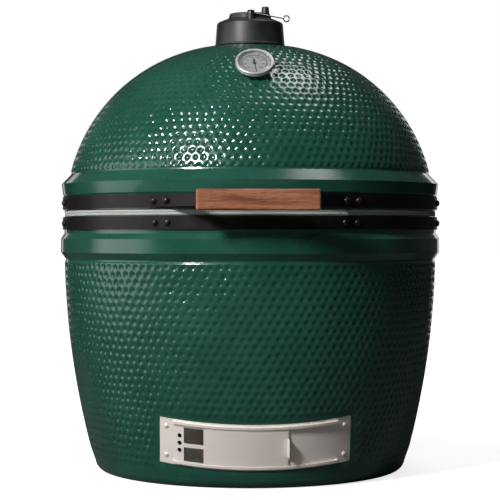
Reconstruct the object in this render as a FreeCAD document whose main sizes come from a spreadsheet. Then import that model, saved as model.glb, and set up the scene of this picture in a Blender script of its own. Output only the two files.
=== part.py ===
import FreeCAD, Part
import math
import os
import Sketcher
from FreeCAD import Vector

# A large kamado ceramic grill, in millimetres and degrees. +Z is up and z = 0 is the floor. The
# origin is the centre of the foot, the front (draft door, handle, dial) faces -Y, and the hinge
# is at the back, +Y. An azimuth is counted from the front, positive towards +X.

doc = FreeCAD.newDocument("KamadoGrill")

SIZES = [
    # The ceramic shells.
    ("rim_radius", 396.0, "outside of both rims, under the bands"),
    ("seam_height", 541.5, "floor to the middle of the seam between base and dome"),
    ("seam_gap", 0.3, "air between the two felts"),
    ("felt_thick", 4.85, "each rim felt"),
    ("felt_inset", 1.0, "felt edge to rim edge"),
    ("rim_round", 1.5, "chamfer on the rims' edges"),
    ("base_wall", 26.0, "base wall at its rim"),
    ("wall_inset", 2.8, "wall under the lip, inside the rim radius"),
    ("wall_arc", 1690.0, "radius of the wall's slow curve"),
    ("wall_drop", 94.5, "seam down to the bottom of the lip"),
    ("lip_proud", 7.3, "lip outside the rim radius"),
    ("lip_slope", 14.0, "height of the slope under the lip"),
    ("lip_band", 28.0, "height of the lip's upright face"),
    ("lip_chamfer", 11.0, "height of the chamfer on the lip"),
    ("foot_radius", 306.0, "flat ring of the foot"),
    ("foot_flare", 23.5, "foot ring to wall"),
    ("foot_height", 16.0, "height of the foot's round edge"),
    ("foot_round", 22.0, "radius of the foot's round edge"),
    ("floor_thick", 28.0, "base floor"),
    ("well_radius", 314.0, "inside of the base just over its floor"),
    ("well_round", 28.0, "corner between floor and wall inside"),
    ("dome_wall", 25.0, "dome wall"),
    ("dome_inset", 4.8, "dome's widest radius, inside the rim radius"),
    ("dome_arc", 358.0, "radius of the dome's curve in section"),
    ("dome_lift", 1.5, "centre of that curve over the seam"),
    ("flange_proud", 5.9, "flange outside the rim radius"),
    ("flange_low", 35.5, "seam up to the bottom of the flange"),
    ("flange_step", 2.8, "flange's lower edge, outside the rim radius"),
    ("flange_high", 62.3, "seam up to the flange's sharp corner"),
    ("flange_end", 83.5, "seam up to where the dimples begin"),
    ("chimney_radius", 62.0, "outside of the neck on top"),
    ("chimney_bore", 48.0, "hole through the neck"),
    ("chimney_rise", 34.0, "neck over the dome's crown"),
    # Bands.
    ("band_thick", 3.0, "steel bands"),
    ("band_width", 26.3, "steel bands"),
    ("band_clear", 0.5, "band to ceramic"),
    ("band_drop", 2.2, "lower band under the base rim"),
    ("band_rise", 3.9, "upper band over the dome rim"),
    ("bolt_inner", 25.6, "azimuth of the inner front bolts"),
    ("bolt_outer", 29.5, "azimuth of the outer front bolts"),
    ("bolt_side", 78.0, "azimuth of the side bolts"),
    ("bolt_radius", 3.0, "shank of the band bolts"),
    ("bolt_clear", 0.2, "shank to its hole"),
    ("head_radius", 6.6, "domed head of the band bolts"),
    ("head_height", 5.4, "domed head of the band bolts"),
    ("face_gap", 0.1, "air between faces that are bolted together"),
    # Handle.
    ("strap_thick", 4.0, "handle and hinge straps"),
    ("strap_tall", 22.6, "handle strap"),
    ("ear_half", 22.0, "half of the strap's ear on the band"),
    ("grip_length", 235.0, "wooden grip"),
    ("grip_tall", 41.0, "wooden grip"),
    ("grip_thick", 22.0, "wooden grip"),
    ("grip_out", 72.0, "rim radius to the grip's front face"),
    ("grip_edge", 4.5, "rounding of the grip's edges"),
    ("grip_end", 9.0, "strap's corner in from the grip's end"),
    ("grip_screw_place", 70.0, "grip screws each side of the middle"),
    ("screw_radius", 3.0, "grip screws"),
    ("screw_depth", 14.0, "grip screws in the wood"),
    # Hinge.
    ("pin_out", 54.0, "rim radius to the hinge pin"),
    ("pin_radius", 6.0, "hinge pin"),
    ("pin_clear", 0.05, "pin to its bushes, and pin to the base ears"),
    ("bush_wall", 2.0, "hinge bushes"),
    ("bush_collar", 1.5, "collar of a bush, between the ears"),
    ("ear_round", 14.0, "ears around the pin"),
    ("ear_place", 104.0, "middle to the inner face of a dome ear"),
    ("ear_thick", 5.0, "hinge ears"),
    ("ear_clear", 0.4, "bush collar to base ear"),
    ("base_plate_half", 18.4, "half angle of the base bracket's plate"),
    ("dome_plate_half", 15.9, "half angle of the dome bracket's plate"),
    ("hinge_open", 78.0, "lid's opening angle"),
    ("stop_radius", 5.0, "stop bolt"),
    ("stop_along", 30.0, "stop bolt's place along the dome ear's edge"),
    ("stop_clear", 0.6, "stop bolt to the dome ear, lid open"),
    ("stop_round", 10.0, "base ear around the stop bolt"),
    ("spring_wire", 2.6, "hinge spring wire radius"),
    ("spring_radius", 13.0, "hinge spring's mean radius"),
    ("spring_pitch", 6.4, "hinge springs"),
    ("spring_length", 64.0, "hinge springs"),
    ("spring_inner", 14.0, "middle to a spring's inner end"),
    # Dial.
    ("dial_place", 52.2, "angle up the dome's curve to the dial"),
    ("dial_tilt", 46.0, "dial axis from the vertical"),
    ("dial_radius", 38.5, "dial case"),
    ("dial_back", 11.0, "dome to the back of the case"),
    ("dial_deep", 14.0, "case, back to front"),
    ("dial_wall", 3.3, "case side"),
    ("dial_lip", 1.9, "case lip over the glass"),
    ("stem_radius", 4.0, "dial stem"),
    ("stem_length", 78.0, "dial stem inside the dome's face"),
    ("stem_hole", 6.0, "hole for the stem"),
    ("boss_radius", 9.0, "boss behind the dial"),
    ("needle_length", 27.0, "needle from its centre"),
    ("needle_tail", 12.0, "needle behind its centre"),
    ("needle_lean", 7.0, "needle from straight down, towards +X"),
    # Vent cap.
    ("cap_radius", 75.0, "cap's skirt at its lower edge"),
    ("cap_top_radius", 71.0, "cap's skirt at its upper edge"),
    ("cap_bore", 66.0, "inside of the skirt"),
    ("cap_clear", 3.0, "dome to the cap's lower edge"),
    ("cap_skirt", 44.5, "height of the skirt"),
    ("cap_seat", 0.6, "chimney top to the cap's ceiling"),
    ("cap_deck", 57.5, "cap's lower edge to its deck"),
    ("deck_radius", 50.0, "cap's deck"),
    ("deck_hole", 38.0, "hole in the deck"),
    ("felt_clear", 0.4, "cap to the chimney felt"),
    ("disc_radius", 45.5, "swinging disc"),
    ("disc_thick", 5.4, "swinging disc"),
    ("disc_clear", 0.3, "faces that turn on each other"),
    ("wheel_radius", 44.0, "damper wheel"),
    ("wheel_thick", 5.6, "damper wheel"),
    ("vent_hole", 9.5, "holes in disc and wheel"),
    ("vent_ring", 26.0, "ring of those holes"),
    ("pivot_reach", 57.5, "axis to the cap's pivot"),
    ("pivot_boss", 9.0, "boss around the pivot"),
    ("pivot_radius", 4.0, "pivot screw"),
    ("pivot_head", 7.6, "pivot screw's head"),
    ("knob_place_x", 32.5, "damper knob"),
    ("knob_place_y", -10.0, "damper knob"),
    ("knob_base", 8.9, "damper knob's foot radius"),
    ("knob_top", 7.5, "damper knob's top radius"),
    ("knob_tall", 14.6, "damper knob"),
    ("wire_radius", 1.4, "disc handle"),
    ("eye_lift", 0.6, "disc to the handle's eye"),
    ("loop_radius", 6.4, "disc handle's finger loop"),
    ("loop_x", 76.5, "finger loop's centre"),
    ("loop_y", -34.0, "finger loop's centre"),
    ("loop_drop", 9.5, "finger loop's centre under the disc handle's eye"),
    # Draft door.
    ("draft_height", 169.6, "where the draft door's axis meets the grill's"),
    ("draft_tilt", 14.0, "draft door's axis from the vertical"),
    ("seat_radius", 355.0, "flat seat cut in the base, about the draft axis"),
    ("seat_end_clear", 0.15, "frame plate's end to the seat's, an angle"),
    ("seat_edge_clear", 0.4, "frame plate's edge to the seat's"),
    ("frame_half_angle", 31.8, "frame plate"),
    ("frame_half_tall", 47.5, "frame plate"),
    ("frame_thick", 1.2, "frame plate, door and screen stock"),
    ("sheet_thick", 1.0, "door and screen"),
    ("mesh_thick", 0.6, "spark mesh"),
    ("slide_gap", 0.4, "air between sliding sheets"),
    ("hole_left", -25.4, "draft hole"),
    ("hole_right", -0.6, "draft hole"),
    ("hole_low", -37.0, "draft hole"),
    ("hole_high", 33.0, "draft hole"),
    ("rail_half_angle", 26.8, "rails"),
    ("rail_rise", 41.7, "rail's web from the middle"),
    ("rail_lip", 3.4, "rail's lip over the sheets"),
    ("rail_thick", 1.4, "rails"),
    ("sheet_clear", 0.3, "sheet's edge to the rail"),
    ("door_left", -16.15, "door at rest"),
    ("door_right", 10.1, "door at rest"),
    ("tab_out", 13.0, "door's finger tab"),
    ("tab_low", -19.0, "door's finger tab"),
    ("tab_high", 19.0, "door's finger tab"),
    ("screen_left", -26.0, "screen at rest"),
    ("screen_right", 0.25, "screen at rest"),
    ("window_first", -23.1, "first window's left edge"),
    ("window_wide", 6.55, "windows"),
    ("window_pitch", 7.85, "windows"),
    ("window_top", 33.0, "windows"),
    ("window_upper", 0.5, "lower edge of the upper windows"),
    ("window_lower", -7.6, "upper edge of the lower windows"),
    ("window_bottom", -37.2, "windows"),
    ("screen_hole", 4.4, "three round holes beside the windows"),
    ("screen_hole_pitch", 15.0, "round holes, one above another"),
    ("draft_screw_angle", 29.4, "frame screws"),
    ("draft_screw_rise", 30.0, "frame screws"),
    ("draft_screw_radius", 2.4, "frame screws"),
    ("draft_head_radius", 4.8, "frame screws"),
    # Firebox.
    ("bowl_foot", 262.0, "fire bowl's skirt at the floor"),
    ("bowl_waist", 285.0, "fire bowl at the grate"),
    ("bowl_shoulder", 335.0, "fire bowl"),
    ("bowl_top", 352.0, "fire bowl's upper edge"),
    ("bowl_wall", 24.0, "fire bowl"),
    ("bowl_lift", 0.3, "base floor to fire bowl"),
    ("bowl_drop", 113.2, "seam down to the fire bowl's upper edge"),
    ("shoulder_drop", 98.0, "fire bowl's upper edge down to its shoulder"),
    ("grate_rise", 122.0, "foot of the bowl to the grate's ledge"),
    ("grate_radius", 172.0, "fire grate"),
    ("grate_thick", 12.0, "fire grate"),
    ("grate_clear", 3.0, "grate to its ledge's wall"),
    ("ledge_wide", 14.0, "ledge under the grate"),
    ("slot_wide", 9.0, "slots in the grate"),
    ("slot_pitch", 19.0, "slots in the grate"),
    ("air_hole", 15.0, "air holes in the fire bowl"),
    ("air_rise", 180.0, "foot of the bowl to its air holes"),
    ("ring_tall", 92.0, "fire ring"),
    ("ring_wall", 25.0, "fire ring"),
    ("ring_radius", 355.0, "fire ring"),
    ("grid_radius", 362.0, "cooking grid's rim, middle of the wire"),
    ("grid_rim_wire", 4.0, "cooking grid's rim wire radius"),
    ("grid_rod", 2.8, "cooking grid's rods"),
    ("grid_pitch", 20.0, "cooking grid's rods"),
    ("grid_brace", 3.6, "bars under the rods"),
    ("grid_brace_place", 190.0, "outer bars from the middle"),
    ("weld_sink", 0.8, "how far crossing wires are welded into each other"),
]

AIR_HOLES = 4
VENT_HOLES = 4

sheet = doc.addObject("Spreadsheet::Sheet", "Size")
for row, (alias, value, meaning) in enumerate(SIZES, 1):
    sheet.set("A%d" % row, alias)
    sheet.set("B%d" % row, str(value))
    sheet.setAlias("B%d" % row, alias)
    sheet.set("C%d" % row, meaning)
doc.recompute()

fits = doc.addObject("App::VarSet", "Fit")


def fit(name, formula):
    """Keep a dimension that follows from the sheet under a name of its own."""
    fits.addProperty("App::PropertyFloat", name, "Fits")
    fits.setExpression(name, formula)
    fits.recompute()


def number(formula):
    """The present value of a formula."""
    return float(sheet.evalExpression(str(formula)))


fit("rim_z", "Size.seam_height - Size.seam_gap / 2 - Size.felt_thick")
fit("dome_rim_z", "Size.seam_height + Size.seam_gap / 2 + Size.felt_thick")
fit("rim_bore", "Size.rim_radius - Size.base_wall")
fit("lip_low", "Size.seam_height - Size.wall_drop")
fit("lip_top", "Fit.lip_low + Size.lip_slope + Size.lip_band")
fit("lip_radius", "Size.rim_radius + Size.lip_proud")
fit("dome_centre", "Size.rim_radius - Size.dome_inset - Size.dome_arc")
fit("dome_centre_z", "Size.seam_height + Size.dome_lift")
fit("dome_inner_arc", "Size.dome_arc - Size.dome_wall")
fit("chimney_top", "Fit.dome_centre_z + Size.dome_arc + Size.chimney_rise")
fit("band_inner", "Size.rim_radius + Size.band_clear")
fit("band_outer", "Fit.band_inner + Size.band_thick")
fit("grip_front", "Size.rim_radius + Size.grip_out")
fit("pin_reach", "Size.rim_radius + Size.pin_out")
fit("lower_band_top", "Fit.rim_z - Size.band_drop")
fit("lower_band_low", "Fit.lower_band_top - Size.band_width")
fit("upper_band_low", "Fit.dome_rim_z + Size.band_rise")
fit("upper_band_top", "Fit.upper_band_low + Size.band_width")
fit("lower_bolt_z", "(Fit.lower_band_low + Fit.lower_band_top) / 2")
fit("upper_bolt_z", "(Fit.upper_band_low + Fit.upper_band_top) / 2")
fit("strap_inner", "Fit.band_outer + Size.face_gap")
fit("strap_outer", "Fit.strap_inner + Size.strap_thick")
fit("bolt_hole", "Size.bolt_radius + Size.bolt_clear")


# Formulas and shapes.

def dome_height(radius, arc="Size.dome_arc"):
    """Height of the dome's curve over a radius."""
    return f"Fit.dome_centre_z + sqrt({arc}^2 - ({radius} - Fit.dome_centre)^2)"


def dome_radius(height, arc="Size.dome_arc"):
    """Radius of the dome's curve at a height."""
    return f"Fit.dome_centre + sqrt({arc}^2 - ({height} - Fit.dome_centre_z)^2)"


def turn(axis, angle):
    """A rotation about X, Y or Z."""
    vector = {"X": "vector(1; 0; 0)", "Y": "vector(0; 1; 0)", "Z": "vector(0; 0; 1)"}[axis]
    return f"rotation({vector}; {angle})"


NO_TURN = turn("Z", 0)


def place(x=0, y=0, z=0, rotation=NO_TURN):
    """A placement formula."""
    return f"placement(vector({x}; {y}; {z}); {rotation})"


def outward(azimuth, radius, height):
    """A place on a circle round the grill's axis, with its own Z pointing straight out."""
    facing = turn("Z", azimuth) + " * " + turn("X", 90)
    return place(f"({radius}) * sin({azimuth})", f"-({radius}) * cos({azimuth})", height, facing)


DRAFT_FRAME = place(0, 0, "Size.draft_height", turn("X", "Size.draft_tilt"))
DIAL_FRAME = place(0, "-(Fit.dome_centre + Size.dome_arc * cos(Size.dial_place))",
                   "Fit.dome_centre_z + Size.dome_arc * sin(Size.dial_place)",
                   turn("X", "Size.dial_tilt"))


def outline(body, name, points, plane="XZ_Plane"):
    """Closed sketch on a plane of its body. A point is (across, up), or (across, up, radius) for
    an arc that ends there, which bulges to the right of the way round, or left if negative."""
    origin_plane = [item for item in body.Origin.OriginFeatures if item.Role == plane][0]
    sketch = body.newObject("Sketcher::SketchObject", name)
    sketch.AttachmentSupport = [(origin_plane, "")]
    sketch.MapMode = "FlatFace"
    corners = [Vector(number(point[0]), number(point[1]), 0) for point in points]
    count = len(points)
    arcs = []
    for index in range(count):
        start, end = corners[index], corners[(index + 1) % count]
        target = points[(index + 1) % count]
        if len(target) == 3:
            radius = number(target[2])
            chord = end - start
            half = chord.Length / 2
            rise = abs(radius) - math.sqrt(radius * radius - half * half)
            side = Vector(chord.y, -chord.x, 0).normalize()
            middle = (start + end) * 0.5 + side * math.copysign(rise, radius)
            ends = (start, end) if radius > 0 else (end, start)
            sketch.addGeometry(Part.Arc(ends[0], middle, ends[1]), False)
            arcs.append((index, target[2]))
        else:
            sketch.addGeometry(Part.LineSegment(start, end), False)
    first = []
    for index in range(count):
        starts_here = (sketch.Geometry[index].StartPoint - corners[index]).Length < 1e-6
        first.append(1 if starts_here else 2)
    for index in range(count):
        following = (index + 1) % count
        sketch.addConstraint(Sketcher.Constraint("Coincident", index, 3 - first[index],
                                                 following, first[following]))
    for index in range(count):
        for axis, kind in enumerate(("DistanceX", "DistanceY")):
            fixed = sketch.addConstraint(Sketcher.Constraint(kind, -1, 1, index, first[index],
                                                             corners[index][axis]))
            sketch.setExpression("Constraints[%d]" % fixed, str(points[index][axis]))
    for index, formula in arcs:
        fixed = sketch.addConstraint(Sketcher.Constraint("Radius", index, abs(number(formula))))
        sketch.setExpression("Constraints[%d]" % fixed, f"abs({formula})")
    return sketch


def revolved(name, points, where=None, span=None):
    """Body of revolution about its own Z, from points (radius, height). With a span it is that
    many degrees wide, centred on its own +X."""
    body = doc.addObject("PartDesign::Body", name)
    sketch = outline(body, name + "_outline", points)
    feature = body.newObject("PartDesign::Revolution", name + "_turned")
    feature.Profile = sketch
    feature.ReferenceAxis = (sketch, ["V_Axis"])
    if span is None:
        feature.Angle = 360
    else:
        feature.setExpression("Angle", span)
        feature.Midplane = True
    if where is not None:
        body.setExpression("Placement", where)
    return body


def padded(name, points, length, plane, where=None, rounding=None):
    """Body padded to both sides of a plane, with every edge rounded where a rounding is given."""
    body = doc.addObject("PartDesign::Body", name)
    sketch = outline(body, name + "_outline", points, plane)
    feature = body.newObject("PartDesign::Pad", name + "_pad")
    feature.Profile = sketch
    feature.setExpression("Length", length)
    feature.Midplane = True
    if rounding is not None:
        doc.recompute()
        fillet = body.newObject("PartDesign::Fillet", name + "_fillet")
        fillet.Base = (feature, [""])
        fillet.UseAllEdges = True
        fillet.setExpression("Radius", rounding)
    if where is not None:
        body.setExpression("Placement", where)
    return body


def sector(name, inner, outer, low, high, left, right, frame="placement(vector(0; 0; 0))"):
    """Piece of a ring between two radii, two heights and two azimuths, in a frame."""
    points = [(inner, low), (outer, low), (outer, high), (inner, high)]
    middle = turn("Z", f"(({left}) + ({right})) / 2 - 90")
    where = f"{frame} * {place(rotation=middle)}"
    return revolved(name, points, where, f"({right}) - ({left})")


def block(name, low, high):
    """Box between two corners."""
    box = doc.addObject("Part::Box", name)
    for side, start, end in zip(("Length", "Width", "Height"), low, high):
        box.setExpression(side, f"({end}) - ({start})")
    box.setExpression("Placement", place(*low))
    return box


def rod(name, radius, length, where):
    """Cylinder that starts at a placement and runs along its Z."""
    cylinder = doc.addObject("Part::Cylinder", name)
    cylinder.setExpression("Radius", radius)
    cylinder.setExpression("Height", length)
    cylinder.setExpression("Placement", where)
    return cylinder


def ring(name, radius, wire, where):
    """Torus in its placement's own XY plane."""
    torus = doc.addObject("Part::Torus", name)
    torus.setExpression("Radius1", radius)
    torus.setExpression("Radius2", wire)
    torus.setExpression("Placement", where)
    return torus


def group(name, shapes):
    compound = doc.addObject("Part::Compound", name)
    compound.Links = shapes
    return compound


def joined(name, shapes):
    fusion = doc.addObject("Part::MultiFuse", name)
    fusion.Shapes = shapes
    return fusion


def cut(name, shape, tools):
    """Shape less its tools, which don't overlap each other."""
    difference = doc.addObject("Part::Cut", name)
    difference.Base = shape
    difference.Tool = tools[0] if len(tools) == 1 else group(name + "_tools", tools)
    return difference


nodes = {}


def node(name, shape):
    """Keep a finished shape as the sub-part of that name."""
    shape.Label = name
    nodes[name] = shape
    return shape


# Band bolts: a domed head outside and a shank through strap and band, along their own Z.

def bolt(name, shank_radius, shank, radius, height, where):
    points = [(0, f"-({shank})"), (shank_radius, f"-({shank})"), (shank_radius, 0), (radius, 0),
              (radius, f"({height}) * 0.25"), (f"({radius}) * 0.3", height, f"({radius}) * 0.85"),
              (0, height)]
    return revolved(name, points, where)


def bolt_holes(name, places):
    """Radial holes through a band and what is bolted on it."""
    holes = []
    for index, (azimuth, height) in enumerate(places, 1):
        where = outward(azimuth, "Size.rim_radius - 5", height)
        holes.append(rod(f"{name}_hole_{index}", "Fit.bolt_hole", "20", where))
    return holes


def both_sides(*azimuths):
    return [sign + azimuth for azimuth in azimuths for sign in ("", "-")]


FRONT_BOLTS = both_sides("Size.bolt_inner", "Size.bolt_outer")
SIDE_BOLTS = both_sides("Size.bolt_side")
REAR_BOLTS = ["180 + Size.base_plate_half * 0.3", "180 - Size.base_plate_half * 0.3",
              "180 + Size.base_plate_half * 0.6", "180 - Size.base_plate_half * 0.6"]


# Base: a thick ceramic bowl with a lip, a flat foot and the draft hole low at the front.

base_blank = revolved("base_blank", [
    (0, 0),
    ("Size.foot_radius", 0),
    ("Size.foot_radius + Size.foot_flare", "Size.foot_height", "Size.foot_round"),
    ("Size.rim_radius - Size.wall_inset", "Fit.lip_low", "Size.wall_arc"),
    ("Fit.lip_radius", "Fit.lip_low + Size.lip_slope"),
    ("Fit.lip_radius", "Fit.lip_top"),
    ("Size.rim_radius", "Fit.lip_top + Size.lip_chamfer"),
    ("Size.rim_radius", "Fit.rim_z - Size.rim_round"),
    ("Size.rim_radius - Size.rim_round", "Fit.rim_z"),
    ("Fit.rim_bore + Size.rim_round", "Fit.rim_z"),
    ("Fit.rim_bore", "Fit.rim_z - Size.rim_round"),
    ("Fit.rim_bore", "Fit.lip_low"),
    ("Size.well_radius", "Size.floor_thick + Size.well_round", "-(Size.wall_arc - Size.base_wall)"),
    ("Size.well_radius - Size.well_round", "Size.floor_thick", "-Size.well_round * 1.05"),
    (0, "Size.floor_thick"),
])
draft_seat = sector("draft_seat", "Size.seat_radius", "Size.seat_radius + 60",
                    "-Size.frame_half_tall - Size.seat_edge_clear",
                    "Size.frame_half_tall + Size.seat_edge_clear",
                    "-Size.frame_half_angle - Size.seat_end_clear",
                    "Size.frame_half_angle + Size.seat_end_clear", DRAFT_FRAME)
draft_hole = sector("draft_hole", "Size.seat_radius - 75", "Size.seat_radius + 5",
                    "Size.hole_low", "Size.hole_high", "Size.hole_left", "Size.hole_right",
                    DRAFT_FRAME)


def draft_place(azimuth, radius, rise):
    """A place about the draft axis, with its own Z pointing out."""
    return f"{DRAFT_FRAME} * {outward(azimuth, radius, rise)}"


DRAFT_SCREWS = [(azimuth, rise) for azimuth in both_sides("Size.draft_screw_angle")
                for rise in both_sides("Size.draft_screw_rise")]
fit("frame_inner", "Size.seat_radius + Size.face_gap")
fit("frame_outer", "Fit.frame_inner + Size.frame_thick")
fit("draft_screw_depth", "15 + Size.frame_thick")


def draft_screw_holes(name):
    holes = []
    for index, (azimuth, rise) in enumerate(DRAFT_SCREWS, 1):
        where = draft_place(azimuth, "Fit.frame_outer - Fit.draft_screw_depth - 2", rise)
        holes.append(rod(f"{name}_screw_hole_{index}", "Size.draft_screw_radius + Size.bolt_clear",
                         "Fit.draft_screw_depth + 6", where))
    return holes


base_seated = cut("base_seated", base_blank, [joined("draft_cutter", [draft_seat, draft_hole])])
node("base_shell", cut("base_shell", base_seated, draft_screw_holes("base")))

# Rim felts, a pair that meets at the seam.
FELT_INNER = "Fit.rim_bore + Size.felt_inset"
FELT_OUTER = "Size.rim_radius - Size.felt_inset"
for name, low in (("base_gasket", "Fit.rim_z"), ("dome_gasket", "Fit.dome_rim_z - Size.felt_thick")):
    high = f"{low} + Size.felt_thick"
    node(name, revolved(name, [(FELT_INNER, low), (FELT_OUTER, low),
                               (FELT_OUTER, high), (FELT_INNER, high)]))

# Dome: one curve from the flange to the crown, with a neck for the vent cap.

dome_blank = revolved("dome_blank", [
    (dome_radius("Fit.dome_rim_z", "Fit.dome_inner_arc"), "Fit.dome_rim_z",
     "-Fit.dome_inner_arc"),
    ("Size.rim_radius - Size.rim_round", "Fit.dome_rim_z"),
    ("Size.rim_radius", "Fit.dome_rim_z + Size.rim_round"),
    ("Size.rim_radius", "Size.seam_height + Size.flange_low"),
    ("Size.rim_radius + Size.flange_step", "Size.seam_height + Size.flange_low + 4"),
    ("Size.rim_radius + Size.flange_proud", "Size.seam_height + Size.flange_high"),
    (dome_radius("(Size.seam_height + Size.flange_end)"), "Size.seam_height + Size.flange_end"),
    ("Size.chimney_radius", dome_height("Size.chimney_radius"), "Size.dome_arc"),
    ("Size.chimney_radius", "Fit.chimney_top"),
    ("Size.chimney_bore", "Fit.chimney_top"),
    ("Size.chimney_bore", dome_height("Size.chimney_bore", "Fit.dome_inner_arc")),
])
stem_bore = rod("stem_bore", "Size.stem_hole", "Size.dome_wall * 4",
                f"{DIAL_FRAME} * {place(0, 0, '-Size.dome_wall * 2')}")
node("dome_shell", cut("dome_shell", dome_blank, [stem_bore]))

# Steel bands, bolted through at the front, the sides and the back.

for name, low, high, middle in (
        ("lower_band", "Fit.lower_band_low", "Fit.lower_band_top", "Fit.lower_bolt_z"),
        ("upper_band", "Fit.upper_band_low", "Fit.upper_band_top", "Fit.upper_bolt_z")):
    hoop = revolved(name + "_hoop", [("Fit.band_inner", low), ("Fit.band_outer", low),
                                     ("Fit.band_outer", high), ("Fit.band_inner", high)])
    places = [(azimuth, middle) for azimuth in FRONT_BOLTS + SIDE_BOLTS + REAR_BOLTS]
    node(name, cut(name, hoop, bolt_holes(name, places)))


def band_bolts(name, azimuths, height, under_head):
    """Bolts from the inside of a band to the face under their heads."""
    bolts = []
    for index, azimuth in enumerate(azimuths, 1):
        bolts.append(bolt(f"{name}_{index}", "Size.bolt_radius", f"{under_head} - Fit.band_inner",
                          "Size.head_radius", "Size.head_height",
                          outward(azimuth, f"{under_head} + Size.face_gap", height)))
    node(name, group(name, bolts))


band_bolts("lower_band_bolts", FRONT_BOLTS + SIDE_BOLTS, "Fit.lower_bolt_z", "Fit.band_outer")
band_bolts("upper_band_bolts", SIDE_BOLTS, "Fit.upper_bolt_z", "Fit.band_outer")

# Handle: a steel strap with an ear on each side of the upper band, and a wooden grip before it.

fit("ear_azimuth", "(Size.bolt_inner + Size.bolt_outer) / 2")
fit("ear_reach", "Fit.strap_inner + Size.strap_thick / 2")
fit("strap_low", "Fit.upper_bolt_z - Size.strap_tall / 2")
fit("strap_front", "Fit.grip_front - Size.grip_thick - Size.face_gap")
fit("strap_corner_x", "Size.grip_length / 2 - Size.grip_end")
fit("strap_corner_y", "-(Fit.strap_front - Size.strap_thick / 2)")
for name, along in (("near", "-Size.ear_half"), ("far", "Size.ear_half")):
    fit(f"ear_{name}_x", f"Fit.ear_reach * sin(Fit.ear_azimuth) + ({along}) * cos(Fit.ear_azimuth)")
    fit(f"ear_{name}_y", f"({along}) * sin(Fit.ear_azimuth) - Fit.ear_reach * cos(Fit.ear_azimuth)")


def strap(name, points, thick, low, tall):
    """Flat bar on edge through points in plan, with a round bend at each."""
    pieces = []
    for index, (start, end) in enumerate(zip(points, points[1:]), 1):
        run_x = f"({end[0]}) - ({start[0]})"
        run_y = f"({end[1]}) - ({start[1]})"
        bar = doc.addObject("Part::Box", f"{name}_bar_{index}")
        bar.setExpression("Length", f"hypot({run_x}; {run_y})")
        bar.setExpression("Width", thick)
        bar.setExpression("Height", tall)
        facing = turn("Z", f"atan2({run_y}; {run_x})")
        bar.setExpression("Placement", f"{place(start[0], start[1], low, facing)} * "
                                       f"{place(0, f'-({thick}) / 2', 0)}")
        pieces.append(bar)
    for index, bend in enumerate(points[1:-1], 1):
        pieces.append(rod(f"{name}_bend_{index}", f"({thick}) / 2", tall,
                          place(bend[0], bend[1], low)))
    return joined(name + "_bent", pieces)


strap_route = [("-Fit.ear_far_x", "Fit.ear_far_y"), ("-Fit.ear_near_x", "Fit.ear_near_y"),
               ("-Fit.strap_corner_x", "Fit.strap_corner_y"),
               ("Fit.strap_corner_x", "Fit.strap_corner_y"),
               ("Fit.ear_near_x", "Fit.ear_near_y"), ("Fit.ear_far_x", "Fit.ear_far_y")]
strap_bar = strap("handle_strap", strap_route, "Size.strap_thick", "Fit.strap_low",
                  "Size.strap_tall")
GRIP_SCREWS = ["-Size.grip_screw_place", "Size.grip_screw_place"]
FORWARD = turn("X", 90)


def grip_screw_holes(name):
    return [rod(f"{name}_screw_hole_{index}", "Size.screw_radius + Size.bolt_clear",
                "Size.strap_thick + Size.screw_depth + 6",
                place(x, "-Fit.strap_front + Size.strap_thick + 4", "Fit.upper_bolt_z", FORWARD))
            for index, x in enumerate(GRIP_SCREWS, 1)]


strap_holes = bolt_holes("strap", [(azimuth, "Fit.upper_bolt_z") for azimuth in FRONT_BOLTS])
node("handle_bracket", cut("handle_bracket", strap_bar, strap_holes + grip_screw_holes("strap")))

fit("ear_head_reach", "Fit.strap_outer / cos(Fit.ear_azimuth - Size.bolt_inner)"
                      " + Size.head_radius * tan(Fit.ear_azimuth - Size.bolt_inner)")
band_bolts("handle_bolts", FRONT_BOLTS, "Fit.upper_bolt_z", "Fit.ear_head_reach")

grip_blank = padded("grip_blank", [
    ("-Size.grip_length / 2", "Fit.upper_bolt_z - Size.grip_tall / 2"),
    ("Size.grip_length / 2", "Fit.upper_bolt_z - Size.grip_tall / 2"),
    ("Size.grip_length / 2", "Fit.upper_bolt_z + Size.grip_tall / 2"),
    ("-Size.grip_length / 2", "Fit.upper_bolt_z + Size.grip_tall / 2"),
], "Size.grip_thick", "XZ_Plane", place(0, "-Fit.grip_front + Size.grip_thick / 2", 0),
    "Size.grip_edge")
node("handle_grip", cut("handle_grip", grip_blank, grip_screw_holes("grip")))

grip_screws = []
for index, x in enumerate(GRIP_SCREWS, 1):
    where = place(x, "-Fit.strap_front + Size.strap_thick + Size.face_gap", "Fit.upper_bolt_z",
                  turn("X", -90))
    grip_screws.append(bolt(f"grip_screw_{index}", "Size.screw_radius",
                            "Size.strap_thick + Size.screw_depth", "Size.head_radius",
                            "Size.head_height", where))
node("grip_screws", group("grip_screws", grip_screws))

# Hinge: each band carries a curved plate with two ears, and one pin goes through all four.

fit("base_ear_x", "Size.ear_place + Size.ear_thick + Size.bush_collar + Size.ear_clear")
fit("plate_middle", "(Fit.strap_inner + Fit.strap_outer) / 2")
fit("edge_run", "Fit.pin_reach - sqrt(Fit.plate_middle^2 - Size.ear_place^2)")
fit("edge_rise", "Fit.upper_band_top - Size.seam_height - Size.ear_round")
fit("edge_angle", "atan2(Fit.edge_rise; -Fit.edge_run)")
fit("stop_off", "Size.stop_radius + Size.stop_clear")
fit("stop_lean", "Fit.edge_angle - Size.hinge_open")
fit("stop_y", "Fit.pin_reach + Size.ear_round * cos(90 - Size.hinge_open)"
              " + Size.stop_along * cos(Fit.stop_lean) + Fit.stop_off * sin(Fit.stop_lean)")
fit("stop_z", "Size.seam_height + Size.ear_round * sin(90 - Size.hinge_open)"
              " + Size.stop_along * sin(Fit.stop_lean) - Fit.stop_off * cos(Fit.stop_lean)")


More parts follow.
